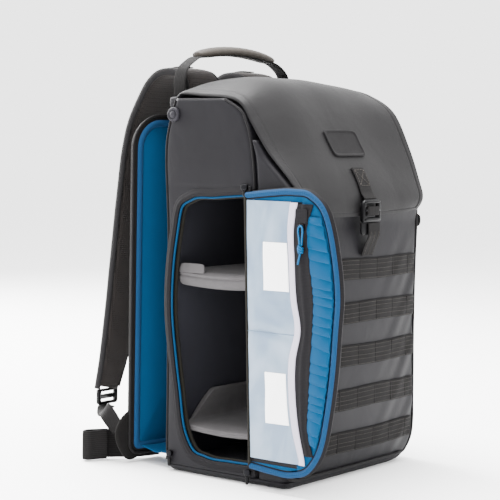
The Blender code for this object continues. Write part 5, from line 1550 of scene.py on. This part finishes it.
# Harness panel: the padded back of the laptop compartment, hinged along its right edge and
# swung open; black woven cloth outside, blue lining inside with a folded binding round it.
PANEL_WIDTH = 0.268
PANEL_BOTTOM = 0.012
PANEL_TOP = 0.427
PANEL_CORNER = 0.040
PANEL_BOARD = 0.010
WING_HALF = 0.0028
PANEL_SWING = math.radians(10.1)
PANEL_HINGE_X = HALF_WIDTH - 0.0025
PANEL_HINGE_Y = BACK_Y + 0.0145
PANEL_HEIGHT = PANEL_TOP - PANEL_BOTTOM
PANEL_MIDDLE = (PANEL_TOP + PANEL_BOTTOM) / 2


def on_panel(across, behind, z):
    """Point in the panel's frame: across from its hinge, behind its inner face."""
    across, behind, z = np.broadcast_arrays(across, behind, z)
    x = PANEL_HINGE_X - across * math.cos(PANEL_SWING) + behind * math.sin(PANEL_SWING)
    y = PANEL_HINGE_Y + across * math.sin(PANEL_SWING) + behind * math.cos(PANEL_SWING)
    return np.stack([x, y, z], axis=-1)


def panel_outline(inset, steps=14):
    """The panel's outline drawn in by inset, as across and height."""
    radii = [max(r - inset, 0.004) for r in (0.012, PANEL_CORNER, PANEL_CORNER, 0.012)]
    line = rounded_outline(PANEL_WIDTH - 2 * inset, PANEL_HEIGHT - 2 * inset, radii, steps)
    line = np.concatenate([line, line[:1]])
    place = arc(line)
    at = np.linspace(0.0, place[-1], 361)[:-1]
    line = np.column_stack([np.interp(at, place, line[:, 0]), np.interp(at, place, line[:, 1])])
    return np.column_stack([PANEL_WIDTH / 2 - line[:, 0], PANEL_MIDDLE + line[:, 1]])


def panel_body(name, levels):
    """Outlines stacked from pairs of inset and depth behind the inner face, with closed ends."""
    rows = []
    for inset, behind in levels:
        if inset is None:
            line = np.tile([PANEL_WIDTH / 2, PANEL_MIDDLE], (360, 1))
        else:
            line = panel_outline(inset)
        rows.append(on_panel(line[:, 0], behind, line[:, 1]))
    return tidy(surface(name, rows, around=True))


harness_cloth = woven("woven_nylon_black", "#171615", "#0d0c0c", 0.0011)
board_levels = [(None, 0.0), (0.060, 0.0), (0.012, 0.0), (0.003, 0.0005), (0.0006, 0.0022),
                (0.0, 0.005), (0.0006, 0.0078), (0.003, 0.0095), (0.012, 0.010), (0.060, 0.010),
                (None, 0.010)]
panel = panel_body("harness_panel_body", board_levels)
dress(panel, "harness_cloth", "harness_panel", finish=harness_cloth)

lining_levels = [(None, -0.0012), (0.060, -0.0016), (0.0125, -0.0010), (0.0115, -0.0004),
                 (0.060, -0.0002), (None, -0.0002)]
panel_lining = panel_body("panel_blue_lining", lining_levels)
dress(panel_lining, "teal_lining", "panel_lining", finish=lining_teal)


def panel_edge_points():
    """The binding's half-round relief between two insets."""
    share = np.linspace(0.0, 1.0, 13)
    rows = []
    for s in share:
        line = panel_outline(0.0042 + 0.0085 * s)
        line = np.concatenate([line, line[:1]])
        rise = 0.0026 * math.sin(math.pi * min(max(s, 0.03), 0.97)) ** 0.55
        rows.append(on_panel(line[:, 0], -0.0002 - rise, line[:, 1]))
    return np.stack(rows, axis=1)


dress(thicken(surface("panel_blue_binding", panel_edge_points()), 0.0006), "blue_binding",
      "panel_binding", finish=grosgrain_blue)

line = panel_outline(-0.0012)
panel_piping = swept("panel_edge_piping", on_panel(line[:, 0], 0.0006, line[:, 1]),
                     (0.17, 0.98, 0.0), circle(0.0016, 10), looped=True)
dress(panel_piping, "harness_cloth", finish=trim_black)


def wing_points(edge, out):
    """Anchor wing: a triangle of doubled cloth at the panel's lower corner, a little proud."""
    corners = np.array([(-0.030, 0.011), (0.002, 0.004), (0.013, 0.016), (0.020, 0.040),
                        (0.012, 0.055), (0.0, 0.0635), (-0.030, 0.060)])
    closed = along(np.concatenate([corners, corners[:1]]), 81)[:-1]
    middle = closed.mean(axis=0)
    rows = []
    for share, half in ((0.0, WING_HALF), (0.6, WING_HALF), (0.93, 0.0024), (1.0, 0.0010),
                        (1.0, -0.0010), (0.93, -0.0024), (0.6, -WING_HALF), (0.0, -WING_HALF)):
        line = middle + (closed - middle) * share
        rows.append(on_panel(edge + out * line[:, 0], PANEL_BOARD / 2 + half, line[:, 1]))
    return rows


for name, edge_across, out in (("left", PANEL_WIDTH, 1), ("right", 0.0, -1)):
    wing = tidy(surface(f"anchor_wing_{name}", wing_points(edge_across, out), around=True))
    dress(wing, "harness_cloth", finish=harness_cloth)


# Hinge strip and floor of the laptop compartment: a strip of the black cloth down the right
# side, and a folded gusset of blue lining at the foot.
def panel_hinge_points():
    """A flat strip from the body's back to the panel's hinge edge, level by level."""
    z = np.linspace(0.090, 0.893, 80) * BODY_HEIGHT
    near = np.stack([np.full(80, HALF_WIDTH - 0.016), main_back(z) + 0.0010, z], axis=1)
    far = on_panel(0.0030, -0.0038, z)
    share = np.linspace(0.0, 1.0, 8)[None, :, None]
    return near[:, None, :] * (1 - share) + far[:, None, :] * share


dress(thicken(surface("laptop_hinge_strip", panel_hinge_points()), 0.0012), "harness_cloth",
      "panel_hinge", finish=harness_cloth)

back_foot = float(main_back(PANEL_BOTTOM)) + 0.0010
floor_corners = [np.array([HALF_WIDTH - 0.016, back_foot]),
                 np.array([-HALF_WIDTH + 0.008, back_foot]),
                 on_panel(0.018, -0.0032, 0.0)[:2], on_panel(PANEL_WIDTH - 0.014, -0.0032, 0.0)[:2]]


def gusset_points():
    """A ruled patch between the body's back and the panel, folded along its middle."""
    s, t = np.meshgrid(np.linspace(0, 1, 60), np.linspace(0, 1, 24))
    near = floor_corners[0] + (floor_corners[1] - floor_corners[0]) * s[..., None]
    far = floor_corners[2] + (floor_corners[3] - floor_corners[2]) * s[..., None]
    place = near + (far - near) * t[..., None]
    fold = PANEL_BOTTOM + 0.0080 - 0.0035 * (1 - np.abs(2 * t - 1))
    fold = fold + 0.0006 * np.sin(30 * s + 3 * t)
    return np.concatenate([place, fold[..., None]], axis=-1)


dress(thicken(surface("laptop_gusset", gusset_points()), 0.0008), "teal_lining", "laptop_floor",
      finish=lining_teal)


# Back pads: two foam pads covered in spacer mesh, glued and sewn on the panel, crowned and
# crossed by two moulded channels.
PAD_WIDTH = 0.092
PAD_GAP = 0.026
PAD_THICKNESS = 0.012
PAD_HEIGHT = 0.76 * PANEL_HEIGHT


def spacer_mesh(name, shade, hole_shade, cell):
    """Spacer mesh: a knitted face with rows of open cells, painted dark inside as the shade that
    falls in them, slightly glossy ribs.
    """
    made, tree, shader = new_material(name, shade, 0.8, Sheen_Weight=0.02, Specular_IOR_Level=0.06)
    place = add(tree, "ShaderNodeTexCoord").outputs["Object"]
    cells = add(tree, "ShaderNodeTexVoronoi", {"Vector": place},
                {"Scale": 1.0 / cell, "Randomness": 0.25}).outputs["Distance"]
    open_ = add(tree, "ShaderNodeMapRange", {"Value": cells},
                {"From Min": 0.12, "From Max": 0.42, "To Min": 0.0, "To Max": 1.0}).outputs[0]
    # The hole colour is painted shade inside the open cells.
    relief_with_painted_dip_shade(tree, shader, open_, hole_shade, shade, 0.7, 0.0008)
    return made


# 0c0b0b is the painted shade in the mesh's open cells.
air_mesh = spacer_mesh("spacer_mesh_black", "#262322", "#0c0b0b", 0.0026)


def pad_points(across, share_levels):
    """A crowned pad: outlines shrunk towards its middle while its height over the panel rises
    as a rounded edge, then a low dome; two channels dip it at a third and two thirds."""
    line = rounded_outline(PAD_WIDTH, PAD_HEIGHT, (0.020, 0.030, 0.030, 0.020), 12)
    line = along(np.concatenate([line, line[:1]]), 241)[:-1]
    rows = []
    for share, height in share_levels:
        a, b = line[:, 0] * share, line[:, 1] * share
        dip = 0.0024 * (groove(b - 0.055, 0.006) + groove(b + 0.055, 0.006)) * (height > 0.004)
        rows.append(on_panel(across - a, PANEL_BOARD + 0.0003 + height - dip,
                             PANEL_MIDDLE + 0.018 + b))
    return rows


pad_levels = [(0.0, 0.0)]
pad_levels += [(1.0 - 0.03 * (1 - math.sin(t)), PAD_THICKNESS * 0.5 * (1 - math.cos(t)))
               for t in np.linspace(0.05, math.pi / 2, 6)]
pad_levels += [(1.0 - 0.10 * s ** 2, PAD_THICKNESS * (0.5 + 0.42 * math.sin(math.pi / 2 * s)))
               for s in np.linspace(0.15, 1.0, 8)]
pad_levels += [(share, PAD_THICKNESS * (0.92 + 0.10 * (0.9 - share)))
               for share in np.linspace(0.86, 0.0, 20)]
for name, place in (("right", -1), ("left", 1)):
    across = PANEL_WIDTH / 2 + place * (PAD_WIDTH + PAD_GAP) / 2
    pad = tidy(surface(f"back_pad_mesh_{name}", pad_points(across, pad_levels), around=True))
    dress(pad, "air_mesh", f"back_pad_{name}", finish=air_mesh)


# Shoulder straps: foam in spacer mesh, bound along both edges, rising from the yoke over the top
# and hanging down behind. Each ends in a ladder adjuster with 20 mm webbing back to the panel.
SHOULDER_PAD = 0.011
ADJUSTER_WIDTH = 0.036
ADJUSTER_HEIGHT = 0.020
SLOT_HALF = 0.0135
LOWER_WEBBING = 0.020
SHOULDER_SECTIONS = table(
    "behind height spread width",
    (0.045, 1.0135, 0.229, 0.240), (0.050, 1.0450, 0.229, 0.245), (0.085, 1.0680, 0.229, 0.255),
    (0.150, 1.0760, 0.230, 0.258), (0.205, 1.0700, 0.232, 0.258), (0.255, 1.0470, 0.234, 0.255),
    (0.305, 1.0000, 0.238, 0.252), (0.360, 0.9290, 0.244, 0.250), (0.382, 0.8700, 0.250, 0.246),
    (0.405, 0.7400, 0.262, 0.236), (0.425, 0.5600, 0.284, 0.218), (0.440, 0.4000, 0.318, 0.198),
    (0.452, 0.2600, 0.362, 0.172), (0.462, 0.1880, 0.388, 0.146))


def shoulder_line(side, count):
    """The strap's middle line and its width along it."""
    rows = SHOULDER_SECTIONS
    path = along(np.stack([side * BODY_WIDTH * rows["spread"], BACK_Y + BODY_WIDTH * rows["behind"],
                           BODY_HEIGHT * rows["height"]], axis=1), count)
    width = BODY_WIDTH * np.interp(np.linspace(0, 1, count), np.linspace(0, 1, len(rows["width"])),
                                   rows["width"])
    return path, width


def pad_section(count=12):
    """Unit section of a padded strap: flat faces, full rounded edges, pinched where the
    binding is sewn."""
    turn = np.linspace(0.0, 2 * math.pi, 4 * count, endpoint=False)
    c, s = np.cos(turn), np.sin(turn)
    x = 0.5 * np.sign(c) * np.abs(c) ** 0.45
    pinch = 1 - 0.45 * np.clip((np.abs(x) - 0.40) / 0.1, 0, 1)
    return np.column_stack([x, 0.5 * np.sign(s) * np.abs(s) ** 0.5 * pinch])


# Course of a belt's end on the panel: across its edge and behind its inner face.
BELT_HEIGHT = 0.036
BELT = ((-0.055, 0.0120), (-0.038, 0.0124), (-0.020, 0.0180), (0.000, 0.0310), (0.020, 0.0440),
        (0.0330, 0.0480), (0.0400, 0.0430), (0.0370, 0.0370), (0.0280, 0.0350), (0.0140, 0.0300))
for side, name in ((-1, "left"), (1, "right")):
    path, width = shoulder_line(side, 200)
    thick = np.full(200, SHOULDER_PAD * 1.04) * (1 - 0.5 * np.linspace(0, 1, 200) ** 24)
    strap = swept(f"shoulder_pad_{name}", path, (1.0, 0.0, 0.0), pad_section(),
                  scale=np.column_stack([width, thick]))
    dress(strap, "air_mesh", f"shoulder_strap_{name}", finish=air_mesh)
    for hand, label in ((-1, "inner"), (1, "outer")):
        rim = path + np.outer(hand * side * (width / 2 - 0.0012), (1, 0, 0))
        edge_tube = swept(f"shoulder_binding_{name}_{label}", rim, (1.0, 0.0, 0.0), circle(1.0, 10),
                          scale=np.tile([0.0022, 0.0046], (200, 1)))
        dress(edge_tube, "harness_cloth", finish=trim_black)
    run = unit(np.gradient(path, axis=0))
    outer = np.cross(run, (1.0, 0.0, 0.0))
    outer = np.where(outer[:, 1:2] + outer[:, 2:] > 0, outer, -outer)
    webbing_path = (path + outer * (SHOULDER_PAD / 2 + 0.0012))[18:178]
    spine = swept(f"shoulder_webbing_{name}", webbing_path, (1.0, 0.0, 0.0),
                  flat_section(0.025, 0.0015))
    dress(spine, "webbing", finish=webbing_black)

    end = path[-1]
    low = end[2] - 0.0011
    outline = rounded_outline(ADJUSTER_WIDTH, ADJUSTER_HEIGHT, (0.004, 0.002, 0.002, 0.004))
    outline = outline + (end[0], low - ADJUSTER_HEIGHT / 2)
    adjuster = slab(f"strap_adjuster_{name}", outline, end[1] - 0.0025, end[1] + 0.0025)
    slots = []
    for share in (0.62, 0.16):
        slot_top = low - ADJUSTER_HEIGHT * share
        slots.append(box_shape("slot", (end[0] - SLOT_HALF, end[1] - 0.02, slot_top - 0.004),
                               (end[0] + SLOT_HALF, end[1] + 0.02, slot_top)))
    cut(adjuster, *slots)
    dress(adjuster, "moulded_black", f"adjuster_{name}", finish=moulded_black)

    edge_across, out = (PANEL_WIDTH, 1) if side < 0 else (0.0, -1)
    tip = on_panel(edge_across + out * 0.0130, PANEL_BOARD / 2 + 0.0042 + WEBBING_THICKNESS / 2,
                   0.042)
    start = np.array([end[0], end[1], low - 0.0212])
    one = 0.65 * start + 0.35 * tip + np.array([side * 0.006, 0.006, 0.004])
    two = 0.30 * start + 0.70 * tip + np.array([side * 0.010, 0.006, 0.014])
    route = along([start, one, two, tip], 60)
    turn = np.linspace(0.0, 1.0, 60)[:, None]
    across = (1 - turn) * (1.0, 0.0, 0.0) + turn * (0.0, 0.0, 1.0)
    lower = swept(f"lower_webbing_{name}_band", route, across,
                  flat_section(LOWER_WEBBING, WEBBING_THICKNESS))
    dress(lower, "webbing", f"lower_webbing_{name}", finish=webbing_black)

    # Belt: a folded end of the waist belt's webbing, curled out beside the panel's foot.
    loop = along([on_panel(edge_across + out * a, b, 0.002 + BELT_HEIGHT / 2) for a, b in BELT],
                 120)
    band = swept(f"waist_belt_{name}", loop, (0.0, 0.0, 1.0), flat_section(BELT_HEIGHT, 0.0030))
    dress(band, "harness_cloth", f"belt_{name}", finish=webbing_black)


# Yoke and grab handle: a padded bar of coated nylon behind the crown takes the straps; the
# handle is webbing whose middle is wrapped in a padded sleeve of the coated nylon.
YOKE_WIDTH = 0.236
YOKE_DEPTH = 0.022
YOKE_HEIGHT = 0.016
HANDLE_SPAN = 0.212
HANDLE_RISE = 0.058
HANDLE_WEBBING = 0.018
GRIP_RADIUS = 0.0085
yoke_top = 1.0090 * BODY_HEIGHT
yoke_front = float(main_back(yoke_top - YOKE_HEIGHT)) + 0.0006
yoke = pillow("strap_yoke", (-YOKE_WIDTH / 2, yoke_front, yoke_top - YOKE_HEIGHT),
              (YOKE_WIDTH / 2, yoke_front + YOKE_DEPTH, yoke_top), 7.0, 64, 32)
dress(yoke, "coated_cloth", "yoke", finish=coated_body)

handle_y = yoke_front + YOKE_DEPTH / 2 + 0.0010
handle_foot = yoke_top + 0.0003
half_span = HANDLE_SPAN / 2
grip_half = 0.72 * half_span
grip_x = np.linspace(-grip_half, grip_half, 90)
grip_arch = 0.865 + 0.135 * (1 - (grip_x / grip_half) ** 2)
ends = np.array([(half_span, 0.0), (half_span + 0.001, 0.30), (half_span - 0.004, 0.55),
                 (0.84 * half_span, 0.72)])
neck = 0.50 + 0.50 * np.sqrt(np.clip(1 - (np.abs(grip_x) / grip_half) ** 4, 0, 1))
grip_z = handle_foot + HANDLE_RISE * grip_arch
under = np.stack([grip_x, grip_z - 0.60 * GRIP_RADIUS * neck], axis=1)[::8]
rising = np.stack([-ends[:, 0], handle_foot + HANDLE_RISE * ends[:, 1]], axis=1)
handle_route = np.concatenate([rising, under, rising[::-1] * (-1, 1)])
handle_path = along(np.insert(handle_route, 1, handle_y, axis=1), 220)
handle_band = swept("handle_band", handle_path, (0.0, 1.0, 0.0),
                    flat_section(HANDLE_WEBBING, WEBBING_THICKNESS))
dress(handle_band, "webbing", "handle_webbing", finish=webbing_black)
grip_path = np.stack([grip_x, np.full(90, handle_y), grip_z], axis=1)
wrinkle = 1 + 0.012 * np.sin(2 * math.pi * grip_x / 0.013)
grip = swept("handle_sleeve", grip_path, (0.0, 1.0, 0.0), circle(1.0, 36),
             scale=np.outer(GRIP_RADIUS * neck * wrinkle, (1.35, 0.72)))
# The sleeve is the body's coated nylon painted much lighter: painted light for the light that falls
# on top of the handle.
coated_grip_painted_light = coated_nylon("coated_nylon_grip_painted_light", "#37332f", 0.9, 0.20)
dress(grip, "coated_cloth", "handle_grip", finish=coated_grip_painted_light)


# Studio: a pale floor, a bright even surround and four square softboxes: weak ones in front
# and on the left, stronger ones overhead and behind, which light the crown and the floor.
FLOOR_SIZE = 6.0
SURROUND_STRENGTH = 3.3
floor_points = np.stack(np.meshgrid(np.linspace(-FLOOR_SIZE, FLOOR_SIZE, 2),
                                    np.linspace(-FLOOR_SIZE, FLOOR_SIZE, 2)), axis=-1)
studio_floor = surface("studio_floor", np.concatenate([floor_points, np.zeros((2, 2, 1))], axis=-1))
paper, _, _ = new_material("studio_paper_white", "#ffffff", 0.9)
studio_floor.data.materials.append(paper)
sky = bpy.data.worlds.new("studio_surround")
sky.use_nodes = True
sky.node_tree.nodes["Background"].inputs["Color"].default_value = (1.0, 1.0, 1.0, 1.0)
sky.node_tree.nodes["Background"].inputs["Strength"].default_value = SURROUND_STRENGTH
bpy.context.scene.world = sky


def softbox(name, place, aim, size, power):
    """A square area light at a place, turned to face a point."""
    light = bpy.data.lights.new(name, "AREA")
    light.size, light.energy = size, power
    lamp = bpy.data.objects.new(name, light)
    back = unit(np.array(place) - np.array(aim))
    right = unit(np.cross((0.0, 0.0, 1.0), back))
    facing = np.stack([right, np.cross(back, right), back], axis=1)
    lamp.matrix_world = Matrix.Translation(place) @ Matrix(facing.tolist()).to_4x4()
    bpy.context.scene.collection.objects.link(lamp)


softbox("key_softbox", (0.4, -1.6, 1.9), (0.0, 0.0, 0.25), 1.4, 8.0)
softbox("left_softbox", (-2.0, -0.2, 1.0), (0.0, 0.0, 0.2), 1.2, 10.0)
softbox("top_softbox", (0.0, 0.3, 2.2), (0.0, 0.0, 0.3), 1.2, 180.0)
softbox("back_softbox", (0.2, 1.9, 1.3), (0.0, 0.0, 0.45), 1.6, 240.0)
